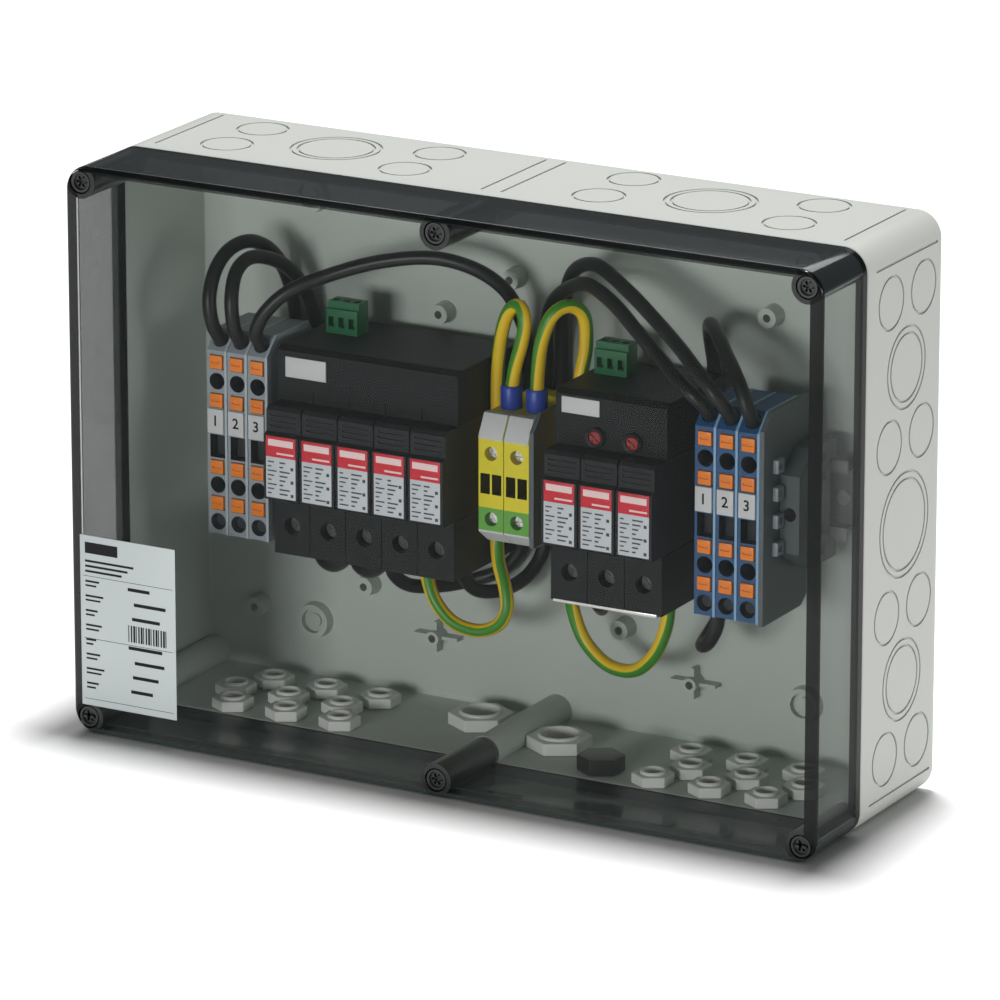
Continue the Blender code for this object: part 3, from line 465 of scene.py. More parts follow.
def smooth_points(route, spacing):
    """Evenly spaced points on a smooth curve through the route's points."""
    ends = [route[0] * 2 - route[1]] + route + [route[-1] * 2 - route[-2]]
    fine = []
    for before, start, end, after in zip(ends, ends[1:], ends[2:], ends[3:]):
        for step in range(16):
            t = step / 16
            fine.append(0.5 * (2 * start + (end - before) * t
                               + (2 * before - 5 * start + 4 * end - after) * t ** 2
                               + (3 * start - before - 3 * end + after) * t ** 3))
    fine.append(route[-1])
    lengths = [0.0]
    for near, far in zip(fine, fine[1:]):
        lengths.append(lengths[-1] + (far - near).length)
    count = round(lengths[-1] / spacing)
    sampled = []
    index = 0
    for step in range(count + 1):
        goal = lengths[-1] * step / count
        while index < len(fine) - 2 and lengths[index + 1] < goal:
            index += 1
        span = lengths[index + 1] - lengths[index]
        sampled.append(fine[index].lerp(fine[index + 1], (goal - lengths[index]) / span))
    return sampled


def make_wire(name, route):
    """A round jacket swept along its route; the earth wires carry a twisting stripe."""
    earth = name.startswith("earth")
    radius = (EARTH_DIAMETER if earth else BLACK_DIAMETER) / 2 * MM
    points = smooth_points([place(*point) for point in route], 2.5 * MM)
    sides = 20
    bm = bmesh.new()
    rings = []
    across = Vector((1, 0, 0))
    for i, point in enumerate(points):
        along = (points[min(i + 1, len(points) - 1)] - points[max(i - 1, 0)]).normalized()
        across = (across - along * across.dot(along)).normalized()
        up = along.cross(across)
        ring = []
        for k in range(sides):
            angle = 2 * math.pi * k / sides + 0.035 * i
            ring.append(bm.verts.new(point + (across * math.cos(angle)
                                              + up * math.sin(angle)) * radius))
        rings.append(ring)
    for near, far in zip(rings, rings[1:]):
        for k in range(sides):
            m = (k + 1) % sides
            face = bm.faces.new((near[k], near[m], far[m], far[k]))
            face.material_index = 1 if earth and k % 10 < 4 else 0
    bm.faces.new(rings[0][::-1])
    bm.faces.new(rings[-1])
    materials = ("cable_yellow", "cable_green") if earth else ("cable_black",)
    slot = "cable_green_yellow" if earth else "cable_black"
    wire = piece(f"{name}_jacket", bm, "enclosure", slot, *materials,
                 smooth=math.radians(60),
                 replaces=(name,))


# ---- enclosure

def case_ring(inset, depth, inset_z=None):
    """The enclosure's rounded outline, drawn in from the outside, at a depth."""
    radius = max(CORNER_R - inset, 1.5)
    inset_z = inset if inset_z is None else inset_z
    points = []
    steps = 12
    corners = ((1, 1, 0), (-1, 1, 90), (-1, -1, 180), (1, -1, 270))
    for side_x, side_z, first in corners:
        centre_x = side_x * (WIDTH / 2 - inset - radius)
        centre_z = HEIGHT / 2 + side_z * (HEIGHT / 2 - inset_z - radius)
        for step in range(steps + 1):
            angle = math.radians(first + 90 * step / steps)
            points.append(place(centre_x + radius * math.cos(angle), depth,
                                centre_z + radius * math.sin(angle)))
    return points


def rounded_edge(radius, depth, towards, steps=4):
    """Rings that turn the case's side into its back (-1) or its front (1)."""
    rings = []
    for step in range(steps + 1):
        angle = math.pi / 2 * step / steps
        rings.append(case_ring(radius * (1 - math.cos(angle)),
                               depth - towards * radius * (1 - math.sin(angle))))
    return rings


def case_screws():
    """Centres of the six lid screws, left to right, bottom row first."""
    xs = (SCREW_INSET - WIDTH / 2, 0.0, WIDTH / 2 - SCREW_INSET)
    return [(x, z) for z in (SCREW_INSET, HEIGHT - SCREW_INSET) for x in xs]


def posts(back, front, trim=0.3):
    """The six screw posts between two depths, trimmed to just inside the outline."""
    bm = bmesh.new()
    for x, z in case_screws():
        rod(bm, place(x, back, z), place(x, front, z), POST_R, 40)
    made = piece("posts", bm, "enclosure", "enclosure_grey", "enclosure")
    outline = bmesh.new()
    loft(outline, [case_ring(trim, back - 1), case_ring(trim, front + 1)])
    combine(made, outline, "INTERSECT")
    trimmed = bmesh.new()
    trimmed.from_mesh(made.data)
    bpy.data.objects.remove(made)
    return trimmed


# Ring grooves, each as (x or z along the face, depth, radius).
KNOCKOUTS_TOP = ((-138, 18, 11), (-138, 48, 11), (-50, 18, 11), (-50, 48, 11),
                 (43, 16, 11), (43, 47, 11), (133, 16, 11), (133, 48, 11),
                 (-93, 32, 19.5), (-93, 32, 16.5), (88, 32, 19.5), (88, 32, 16.5))
KNOCKOUTS_SIDE = (*((z, depth, 11.3) for z in (28, 90, 164, 226) for depth in (48, 18)),
                  *((z, 33, radius) for z in (59, 195) for radius in (17.5, 14.5)),
                  (127, 33, 22.5), (127, 33, 19.5))
GROOVE_WIDTH = 1.1
GROOVE_DEPTH = 0.9


def ring_groove(bm, centre, normal, radius):
    """A flat-bottomed ring sunk into a face."""
    turn = Vector((0, 0, 1)).rotation_difference(Vector(normal)).to_matrix()
    sides = 56
    rows = []
    inner, outer = radius - GROOVE_WIDTH / 2, radius + GROOVE_WIDTH / 2
    section = ((inner, 1), (outer, 1), (outer, -GROOVE_DEPTH), (inner, -GROOVE_DEPTH))
    for i in range(sides):
        angle = 2 * math.pi * i / sides
        row = []
        for r, h in section:
            local = Vector((r * math.cos(angle), r * math.sin(angle), h)) * MM
            row.append(bm.verts.new(centre + turn @ local))
        rows.append(row)
    close_ring(bm, rows)


def knock_out_grooves():
    bm = bmesh.new()
    for x, depth, radius in KNOCKOUTS_TOP:
        ring_groove(bm, place(x, depth, HEIGHT), (0, 0, 1), radius)
    for z, depth, radius in KNOCKOUTS_SIDE:
        ring_groove(bm, place(WIDTH / 2, depth, z), (1, 0, 0), radius)
        ring_groove(bm, place(-WIDTH / 2, depth, z), (-1, 0, 0), radius)
    half = GROOVE_WIDTH / 2
    for x in (-165.5, -5, 4.5, 165.5):
        block(bm, (x - half, 5, HEIGHT - GROOVE_DEPTH), (x + half, 62, HEIGHT + 1))
    for side in (-1, 1):
        outer, inner = side * (WIDTH / 2 + 1), side * (WIDTH / 2 - GROOVE_DEPTH)
        for z in (11.5, 242.5):
            block(bm, (min(outer, inner), 5, z - half), (max(outer, inner), 62, z + half))
    return bm


STUDS = ((-55, 180), (-20, 200), (104, 200), (34, 51), (-93, 51), (-149, 33))
CROSS_STUDS = ((-58, 33), (69, 32))
RAIL_SCREW_XS = (-147, 143)
WALL_FIXINGS = tuple((side * 121, z) for side in (-1, 1) for z in (30, 224))


def small_entries():
    """Centres (x, depth) of the small cable entries, two mirrored groups of nine."""
    return [(side * x, depth) for side in (-1, 1) for depth, xs in SMALL_ROWS for x in xs]


def make_base():
    seat = SEAM - 1.8
    bm = bmesh.new()
    outer = [case_ring(2.4, 0), *rounded_edge(2.4, 0, -1)[::-1][1:]]
    loft(bm, [*outer, case_ring(0, SEAM - 0.4), case_ring(0.4, SEAM), case_ring(1.5, SEAM),
              case_ring(1.5, seat), case_ring(WALL, seat), case_ring(WALL, WALL + 2),
              case_ring(WALL + 0.6, WALL + 0.6), case_ring(WALL + 2, WALL)])
    shell = piece("enclosure_base", bm, "enclosure", "enclosure_grey", "enclosure",
                  replaces=("base_shell",))
    combine(shell, posts(2, seat), "UNION")

    raised = bmesh.new()
    for x, z in STUDS:
        rod(raised, place(x, 2, z), place(x, 11, z), 5.0, 32, 4.3)
    for x, z in CROSS_STUDS:
        rod(raised, place(x, 2, z), place(x, 12, z), 3.2)
    for x in RAIL_SCREW_XS:
        rod(raised, place(x, 2, RAIL_Z), place(x, 11.2, RAIL_Z), 4.5)
    combine(shell, raised, "UNION")
    domes = bmesh.new()
    for x, z in WALL_FIXINGS:
        rod(domes, place(x, 2, z), place(x, 8, z), 8.4, 40, 7.6)
    combine(shell, domes, "UNION")
    for half_x, half_z in ((11, 0.8), (0.8, 7)):
        ribs = bmesh.new()
        for x, z in CROSS_STUDS:
            block(ribs, (x - half_x, 2, z - half_z), (x + half_x, 9, z + half_z))
        combine(shell, ribs, "UNION")

    holes = bmesh.new()
    for x, z in case_screws():
        rod(holes, place(x, 48, z), place(x, SEAM, z), 2.3)
    for x, z in (*STUDS, *CROSS_STUDS):
        rod(holes, place(x, 4, z), place(x, 13, z), 1.8, 24)
    for x in RAIL_SCREW_XS:
        rod(holes, place(x, 4, RAIL_Z), place(x, 13, RAIL_Z), 1.8, 24)
    for x, z in WALL_FIXINGS:
        rod(holes, place(x, -1, z), place(x, 6, z), 3.2)
        rod(holes, place(x, 5, z), place(x, 9, z), 5.4)
    combine(shell, holes, "DIFFERENCE")

    recess = bmesh.new()
    for low, high in ((-170, -5), (5, 170)):
        block(recess, (low, 8, -1), (high, 69, 1.5))
    combine(shell, recess, "DIFFERENCE")
    entries = bmesh.new()
    for x, depth in small_entries():
        rod(entries, place(x, depth, 0), place(x, depth, 6), 5.8)
    for x, depth in LARGE_ENTRIES.values():
        rod(entries, place(x, depth, 0), place(x, depth, 6), 10)
    rod(entries, place(*VENT_PLUG_AT, 0), place(*VENT_PLUG_AT, 6), 7)
    combine(shell, entries, "DIFFERENCE")
    combine(shell, knock_out_grooves(), "DIFFERENCE")
    # Painted light: the inside faces take a faint green cast standing in for light filtered
    # through the smoky lid.
    paint(shell, "enclosure_inside_painted_lid_tint", lambda x, depth, z, normal: WALL - 1 < depth < seat - 1
          and abs(x) < WIDTH / 2 - WALL + 0.5 and WALL - 1 < z < HEIGHT - WALL + 0.5)


# ---- lid

def drill_screw_places(target, start, radius, sides):
    """Drill six holes through the lid's face, from a depth behind it."""
    holes = bmesh.new()
    for x, z in case_screws():
        rod(holes, place(x, start, z), place(x, DEPTH + 1, z), radius, sides)
    combine(target, holes, "DIFFERENCE")


def make_lid():
    face = DEPTH - WALL
    bm = bmesh.new()
    loft(bm, [case_ring(WALL + 1.2, face), case_ring(WALL + 0.35, face - 0.35),
              case_ring(WALL, face - 1.2), case_ring(WALL, LID_BACK + RIM_BAND),
              case_ring(WALL, LID_BACK), case_ring(0.3, LID_BACK),
              case_ring(0, LID_BACK + 0.3), case_ring(0, LID_BACK + RIM_BAND),
              *rounded_edge(EDGE_R, DEPTH, 1, steps=5),
              case_ring(SIDE_BORDER, DEPTH, inset_z=TOP_BORDER)])
    lid = piece("lid_shell", bm, "lid", "smoky_lid", "lid_face", replaces=("lid",))

    def bordering(x, z):
        return abs(x) > WIDTH / 2 - SIDE_BORDER or not TOP_BORDER < z < HEIGHT - TOP_BORDER

    def front_face(x, depth, z, normal):
        inner = abs(normal.y) > 0.9 and DEPTH - WALL - 0.1 < depth < DEPTH - 1
        return inner or depth > DEPTH - 0.1 and not bordering(x, z)

    def side_wall(x, depth, z, normal):
        return depth < DEPTH - EDGE_R and not front_face(x, depth, z, normal)

    # Painted shade and reflection: each wall of the clear lid is painted its own colour and
    # opacity.
    reach = 9.0                     # a wall's faces lie this close to its outer side
    walls = {
        "lid_top_wall_painted_shade": lambda x, z: z > HEIGHT - reach,
        "lid_bottom_wall_painted_reflection": lambda x, z: z < reach,
        "lid_left_wall_painted_shade": lambda x, z: x < reach - WIDTH / 2 and reach < z < HEIGHT - reach,
        "lid_right_wall_painted_shade": lambda x, z: x > WIDTH / 2 - reach and reach < z < HEIGHT - reach,
    }
    for material, near in walls.items():
        paint(lid, material, lambda x, d, z, n: side_wall(x, d, z, n) and near(x, z))
    # Painted shade: the rim by the seam and the face's border strips are painted near-black
    # and nearly opaque.
    edges = {
        "lid_rim_painted_shade": lambda x, d, z, n: d < LID_BACK + RIM_BAND,
        "lid_border_painted_shade": lambda x, d, z, n: d > DEPTH - EDGE_R and not front_face(x, d, z, n),
        "lid_lower_border_painted_shade": lambda x, d, z, n: d > DEPTH - EDGE_R and z < TOP_BORDER
        and abs(x) < WIDTH / 2 - SIDE_BORDER and not front_face(x, d, z, n),
    }
    for material, chosen in edges.items():
        paint(lid, material, chosen)

    drill_screw_places(lid, 104, 5.3, 40)
    # The screw posts are painted near-black and opaque: painted shade in the clear lid.
    columns = piece("lid_screw_posts", posts(LID_BACK + 0.4, DEPTH - 0.5, 0.6), "lid",
                    "smoky_lid", "lid_post_painted_shade")
    drill_screw_places(columns, 60, 2.6, 32)
    drill_screw_places(columns, 106, 5.2, 40)


def cut_slots(screw, x, z, half_length, half_width, start, end, turns):
    """Cut slots across a screw's face, each turned about its axis by some degrees."""
    for turn in turns:
        slot = bmesh.new()
        block(slot, (x - half_length, start, z - half_width),
              (x + half_length, end, z + half_width))
        bmesh.ops.rotate(slot, verts=slot.verts, cent=place(x, 0, z),
                         matrix=Matrix.Rotation(math.radians(turn), 3, "Y"))
        combine(screw, slot, "DIFFERENCE")


def make_lid_screws():
    """Quarter-turn plastic screws: a ring, a sunken centre and a six-point recess."""
    for number, (x, z) in enumerate(case_screws(), start=1):
        bm = bmesh.new()
        lathe(bm, place(x, 0, z), [(1.2, 106.4), (4.5, 106.4), (4.8, 106.8), (4.8, 110.0),
                                   (4.5, 110.4), (3.6, 110.4), (3.3, 110.1), (3.3, 109.2),
                                   (1.2, 109.2)], axis="Y")
        node = f"lid_screw_{number}"
        screw = piece(f"{node}_head", bm, node, "screw_black", replaces=(node,))
        shank = bmesh.new()
        rod(shank, place(x, 50, z), place(x, 109.3, z), 1.9)
        combine(screw, shank, "UNION")
        cut_slots(screw, x, z, 2.6, 0.55, 107.6, 110.6, (0, 60, 120))


# ---- terminals

# Heights above the rail's middle.
FIXED_BUTTON_ROWS = (15.2, -14.8)
MOVING_BUTTON_ROWS = {"upper": 32.4, "lower": -31.0}
WIRE_HOLE_ROWS = (23.8, -22.8, -39.5)


def make_button(name, x, height, body, replaces=()):
    """A sprung release button with a screwdriver slot across its face."""
    z = RAIL_Z + height
    button = block_piece(name, (x - 3.1, 54.5, z - 3), (x + 3.1, 62.8, z + 3), body,
                         "button_orange", edge=0.45, replaces=replaces)
    slot = bmesh.new()
    block(slot, (x - 2.1, 62.2, z - 0.45), (x + 2.1, 63.2, z + 0.45))
    combine(button, slot, "DIFFERENCE")


def make_number(name, text, x, depth, z, size):
    """A printed number standing on a front face."""
    curve = bpy.data.curves.new(name, "FONT")
    curve.body = text
    curve.size = size * MM
    curve.align_x = "CENTER"
    curve.align_y = "CENTER"
    curve.extrude = 0.03 * MM
    curve.offset = 0.12 * MM
    curve.resolution_u = 3
    drawn = bpy.data.objects.new("drawn", curve)
    bpy.context.scene.collection.objects.link(drawn)
    graph = bpy.context.evaluated_depsgraph_get()
    bm = bmesh.new()
    bm.from_mesh(drawn.evaluated_get(graph).to_mesh())
    bpy.data.objects.remove(drawn)
    upright = Matrix.Rotation(math.radians(90), 4, "X")
    bm.transform(Matrix.Translation(place(x, depth, z)) @ upright)
    piece(name, bm, "enclosure", "button_orange", "print_black")


def make_terminal(kind, number, x, colour):
    name = f"{kind}_terminal_{number}"
    left, right = x - TERMINAL_HALF, x + TERMINAL_HALF
    front = TERMINAL_FRONT
    outline = [(front, -45), (front, 37.5), (54, 45.5), (27, 45.5), (21, 39), (21, 24),
               (13, 24), (13, 18), (19.4, 18), (19.4, -18), (13, -18), (13, -24),
               (20.5, -24), (20.5, -39), (27, -45)]
    bm = bmesh.new()
    profile_solid(bm, outline, left, right, edge=0.35)
    slot = f"terminal_{colour}"
    housing = piece(f"{name}_housing", bm, "enclosure", slot, replaces=(name,))
    cuts = bmesh.new()
    for height in (*MOVING_BUTTON_ROWS.values(), *FIXED_BUTTON_ROWS):
        z = RAIL_Z + height
        block(cuts, (x - 3.4, 52, z - 3.3), (x + 3.4, front + 1, z + 3.3))
    block(cuts, (x - 3.7, 56, RAIL_Z - 10.6), (x + 3.7, front + 1, RAIL_Z - 0.2))
    combine(housing, cuts, "DIFFERENCE")
    cuts = bmesh.new()
    for height in WIRE_HOLE_ROWS:
        z = RAIL_Z + height
        rod(cuts, place(x, 51, z), place(x, 61, z), 2.9, 28)
    rod(cuts, place(x, 55.5, RAIL_Z + 39), place(x, 60, RAIL_Z + 43.5), 3.7, 28)
    rod(cuts, place(x, 50, RAIL_Z - 47), place(x, 50, RAIL_Z - 38), 3.5, 28)
    combine(housing, cuts, "DIFFERENCE")
    cuts = bmesh.new()
    for height in WIRE_HOLE_ROWS:
        z = RAIL_Z + height
        rod(cuts, place(x, 59, z), place(x, 62.4, z), 2.6, 28, 3.9)
    combine(housing, cuts, "DIFFERENCE")
    # Painted shade: the faces inside the holes and button pockets are darkened near-black.
    paint(housing, "terminal_hole_painted_shade",
          lambda fx, depth, z, normal: depth < 61 and left + 0.6 < fx < right - 0.6
          and depth > 50.5 and z > RAIL_Z - 44 and z < RAIL_Z + 37)

    bm = bmesh.new()
    rib = [(62.35, -45.2), (62.35, 37.8), (54.2, 45.8), (27, 45.8), (27, 43), (53, 43),
           (59, 37), (59, -43), (27, -43), (27, -45.2)]
    profile_solid(bm, rib, right - 1.0, right + 0.12, edge=0.12, segments=1)
    # The rib's lighter copy of the housing colour is a painted highlight along the
    # terminal's edge.
    piece(f"{name}_rib", bm, "enclosure", slot, f"{slot}_rib")

    for row, height in MOVING_BUTTON_ROWS.items():
        node = f"{name}_button_{row}"
        make_button(f"{node}_cap", x - 0.2, height, node, replaces=(node,))
    for index, height in enumerate(FIXED_BUTTON_ROWS, start=1):
        make_button(f"{name}_inner_button_{index}", x - 0.2, height, "enclosure")

    block_piece(f"{name}_marker", (x - 4.3, 60.5, RAIL_Z + 0.5),
                (x + 3.5, 63.2, RAIL_Z + 11.4), "enclosure", slot, "marker_white", edge=0.3)
    make_number(f"{name}_number", str(number), x - 0.4, 63.22, RAIL_Z + 6, 6.5)


def make_end_cover(node, x, front, half):
    outline = [(front, -half), (front, half - 7), (front - 7, half), (22, half), (22, 24),
               (20, 24), (20, -24), (22, -24), (22, 4 - half), (27, -half)]
    bm = bmesh.new()
    profile_solid(bm, outline, x, x + 2, edge=0.4)
    piece(f"{node}_plate", bm, "enclosure", "terminal_grey", "cover_grey",
          replaces=(node,))


def make_return_cover_studs(x, front):
    """Hollow pegs moulded on the outer face of the end plate."""
    for index, height in enumerate((22, 10, -2, -14), start=1):
        z = RAIL_Z + height
        peg = block_piece(f"return_end_cover_peg_{index}", (x, front - 14, z - 3),
                          (x + 2.6, front - 8, z + 3), "enclosure", "terminal_grey",
                          edge=0.5)
        hole = bmesh.new()
        rod(hole, place(x + 1, front - 11, z), place(x + 4, front - 11, z), 1.6, 20)
        combine(peg, hole, "DIFFERENCE")


def make_end_bracket(x):
    outline = [(48, -17), (48, 17), (36, 26), (13, 26), (13, 18), (19.4, 18),
               (19.4, -18), (13, -18), (13, -26), (36, -26)]
    bm = bmesh.new()
    profile_solid(bm, outline, x, x + 9, edge=0.5)
    bracket = piece("end_bracket_body", bm, "enclosure", "bracket_grey",
                    replaces=("end_bracket",))
    cuts = bmesh.new()
    middle = x + 4.5
    rod(cuts, place(middle, 28, RAIL_Z), place(middle, 50, RAIL_Z), 3.0)
    for height in (-20, -12, 12, 20):
        z = RAIL_Z + height
        block(cuts, (x + 7.6, 24, z - 2.2), (x + 10, 40, z + 2.2))
    combine(bracket, cuts, "DIFFERENCE")
    make_slotted_screw("end_bracket_screw", middle, 40, RAIL_Z, 2.7)


def make_slotted_screw(name, x, depth, z, radius, material="screw_steel", turn=20):
    """A screw head seen from the front, sunk in its hole."""
    bm = bmesh.new()
    lathe(bm, place(x, 0, z), [(0.05, depth - 3), (radius, depth - 3),
                               (radius, depth - 0.4), (radius - 0.4, depth),
                               (0.05, depth + 0.1)], axis="Y", segments=28)
    screw = piece(name, bm, "enclosure", "zinc_steel", material)
    cut_slots(screw, x, z, radius * 0.75, 0.35, depth - 0.8, depth + 1, (turn, turn + 90))


# ---- earth terminals

def make_earth_terminal(number, x):
    outline = [(EARTH_FRONT, -25), (EARTH_FRONT, 17), (55, 26), (34, 26), (30, 22), (22, 22),
               (22, 27), (13, 27), (13, 18), (19.4, 18), (19.4, -18), (13, -18),
               (13, -27), (22, -27), (34, -31), (52, -31)]
    name = f"earth_terminal_{number}"
    bm = bmesh.new()
    profile_solid(bm, outline, x - 6, x + 6, edge=0.4)
    for height in (-24.2, -14):
        geometry = [*bm.verts, *bm.edges, *bm.faces]
        bmesh.ops.bisect_plane(bm, geom=geometry, plane_co=place(0, 0, RAIL_Z + height),
                               plane_no=(0, 0, 1))
    body = piece(f"{name}_housing", bm, "enclosure", "terminal_yellow",
                 replaces=(name,))
    cuts = bmesh.new()
    rod(cuts, place(x, 42, RAIL_Z + 18), place(x, 42, RAIL_Z + 27), 3.8)
    for near, far in ((-5.1, -0.5), (0.5, 5.1)):
        block(cuts, (x + near, 52, RAIL_Z - 8), (x + far, EARTH_FRONT + 1, RAIL_Z + 1))
    combine(body, cuts, "DIFFERENCE")
    cuts = bmesh.new()
    for height in (10, -19):
        z = RAIL_Z + height
        rod(cuts, place(x, 52, z), place(x, 61, z), 3.1)
    combine(body, cuts, "DIFFERENCE")
    paint(body, "terminal_green",
          lambda fx, depth, z, normal: -24.2 < z - RAIL_Z < -14 and depth > 40)
    paint(body, "marker_white", lambda fx, depth, z, normal: z - RAIL_Z < -24.2
          and depth > 34)
    # Painted shade: the faces inside the clamp recess take a darkened copy of the yellow.
    paint(body, "clamp_recess_painted_shade", lambda fx, depth, z, normal: abs(fx - x) < 5.3
          and -8.2 < z - RAIL_Z < 1.2 and 51 < depth < 59.3)
    for index, height in enumerate((10, -19), start=1):
        make_slotted_screw(f"{name}_screw_{index}", x, 57.6, RAIL_Z + height, 2.8,
                           turn=25 + 30 * number)

    bm = bmesh.new()
    outline = [(60.5, 16.4), (60.5, 17.3), (55.4, 26.6), (52, 26.6), (52, 24), (57, 16.4)]
    profile_solid(bm, outline, x - 5.8, x + 5.8, edge=0.2, segments=1)
    piece(f"{name}_marker", bm, "enclosure", "terminal_yellow", "marker_white")

    bm = bmesh.new()
    lathe(bm, place(x, 42, 0), [(3.05, RAIL_Z + 21.6), (3.65, RAIL_Z + 21.6),
                                (3.65, RAIL_Z + 24), (4.7, RAIL_Z + 26.4),
                                (4.7, RAIL_Z + 35), (4.2, RAIL_Z + 36), (3.05, RAIL_Z + 36)])
    piece(f"{name}_ferrule", bm, "enclosure", "terminal_blue", "ferrule_blue")


# ---- surge protection

BLADE_ROWS = (-10, 10)              # heights above the rail's middle


def module_centres(left, count):
    return [left + MODULE * (i + 0.5) for i in range(count)]


def make_spd_base(name, left, count, connector_x):
    right = left + MODULE * count - 0.3
    outline = [(SPD_LOWER, -47), (SPD_LOWER, -21), (36, -21), (36, 21), (SPD_UPPER, 21),
               (SPD_UPPER, 43), (61, 45), (13, 45), (13, 18), (19.4, 18), (19.4, -18),
               (13, -18), (13, -47)]
    bm = bmesh.new()
    profile_solid(bm, outline, left, right, edge=0.7, segments=3)
    base = piece(f"{name}_housing", bm, "enclosure", "device_black",
                 replaces=(f"{name}_base",))
    cuts = bmesh.new()
    for x in module_centres(left, count):
        for height in BLADE_ROWS:
            z = RAIL_Z + height
            block(cuts, (x - 1.6, 29, z - 3), (x + 1.6, 37, z + 3))
        rod(cuts, place(x, 45, RAIL_Z - 48), place(x, 45, RAIL_Z - 40), 3.8)
        rod(cuts, place(x, 60, RAIL_Z - 34), place(x, SPD_LOWER + 1, RAIL_Z - 34), 3.9)
    block(cuts, (connector_x - 6.3, 30.7, RAIL_Z + 39),
          (connector_x + 6.3, 35.3, RAIL_Z + 46))
    for i in range(1, count):
        x = left + MODULE * i - 0.15
        block(cuts, (x - 0.25, SPD_LOWER - 1.1, RAIL_Z - 48),
              (x + 0.25, SPD_LOWER + 1, RAIL_Z - 20))
        block(cuts, (x - 0.25, SPD_UPPER - 0.8, RAIL_Z + 20),
              (x + 0.25, SPD_UPPER + 1, RAIL_Z + 26))
    combine(base, cuts, "DIFFERENCE")
    for number, x in enumerate(module_centres(left, count), start=1):
        # The clamp screws take a darker steel: painted shade for screws deep in their holes.
        make_slotted_screw(f"{name}_clamp_screw_{number}", x, 63.5, RAIL_Z - 34, 3.5,
                           material="clamp_steel_painted_shade", turn=18 * number)
        make_plug(f"{name}_plug_{number}", x - 0.15, number)
    make_connector(f"{name}_signal_connector", connector_x)


def make_plug(name, x, number):
    front = PLUG_FRONT
    outline = [(front, -19.6), (front, 8.5), (74.5, 9.5), (74.5, 19), (73, 20.6),
               (36.3, 20.6), (36.3, -20.6), (front - 1, -20.6)]
    bm = bmesh.new()
    profile_solid(bm, outline, x - 8.5, x + 8.5, edge=0.7, segments=3)
    plug = piece(f"{name}_shell", bm, name, "plug_black", replaces=(name,))
    blades = bmesh.new()
    for height in BLADE_ROWS:
        z = RAIL_Z + height
        block(blades, (x - 1.2, 30, z - 2.6), (x + 1.2, 38, z + 2.6))
    combine(plug, blades, "UNION")
    cuts = bmesh.new()
    for height in (12.2, 14.6, 17.0):
        z = RAIL_Z + height
        block(cuts, (x - 6.6, 73.7, z - 0.45), (x + 6.6, 75, z + 0.45))
    combine(plug, cuts, "DIFFERENCE")
    paint(plug, "screw_steel", lambda fx, depth, z, normal: depth < 36)

    under = front - 0.2
    block_piece(f"{name}_label", (x - 7.3, under, RAIL_Z - 19.2),
                (x + 7.3, front + 0.12, RAIL_Z - 0.9), name, "plug_black", "label_white",
                edge=0.05)
    block_piece(f"{name}_band", (x - 7.3, under, RAIL_Z - 1.0),
                (x + 7.3, front + 0.14, RAIL_Z + 8.2), name, "plug_black", "label_red",
                edge=0.05)
    bm = bmesh.new()
    block(bm, (x - 6.2, front, RAIL_Z + 4.0), (x + 6.2, front + 0.2, RAIL_Z + 6.9))
    block(bm, (x - 2.0, front, RAIL_Z + 0.4), (x + 6.4, front + 0.2, RAIL_Z + 1.2))
    piece(f"{name}_band_fields", bm, name, "plug_black", "label_blank")
    bm = bmesh.new()
    proud = front + 0.16
    for row in range(8):
        z = RAIL_Z - 3.2 - 2.0 * row
        first_end = x - 4.6 + 1.3 * ((row * 5 + number) % 3)
        second_end = x + 1.2 + 1.1 * ((row * 3 + number) % 4)
        block(bm, (x - 6.4, front, z - 0.3), (first_end, proud, z + 0.3))
        block(bm, (x - 0.6, front, z - 0.35), (second_end, proud, z + 0.35))
        if row % 3 == 1:
            block(bm, (x + 4.9, front, z - 0.9), (x + 6.3, proud, z + 0.5))
    piece(f"{name}_label_rules", bm, name, "plug_black", "print_grey")


def make_connector(node, x):
    """Three-pole plug: a stepped body with screw wells on top and wire ports in front."""
    bottom = RAIL_Z + 45.3
    connector = block_piece(f"{node}_body", (x - 7.8, 28, bottom),
                            (x + 7.8, 38, bottom + 14), node, "connector_green",
                            edge=0.4, replaces=(node,))
    tongue = bmesh.new()
    block(tongue, (x - 6, 31, bottom - 5.5), (x + 6, 35, bottom + 1))
    combine(connector, tongue, "UNION")
    cuts = bmesh.new()
    for pole in (-5, 0, 5):
        rod(cuts, place(x + pole, 33, bottom + 9), place(x + pole, 33, bottom + 15), 1.8)
        block(cuts, (x + pole - 1.5, 34, bottom + 3), (x + pole + 1.5, 39, bottom + 7.5))
    block(cuts, (x - 8.5, 36.4, bottom + 11), (x + 8.5, 39, bottom + 15))
    combine(connector, cuts, "DIFFERENCE")
    for index, pole in enumerate((-5, 0, 5), start=1):
        bm = bmesh.new()
        rod(bm, place(x + pole, 33, bottom + 9.2), place(x + pole, 33, bottom + 11.5), 1.6)
        piece(f"{node}_screw_{index}", bm, node, "zinc_steel", "screw_steel")


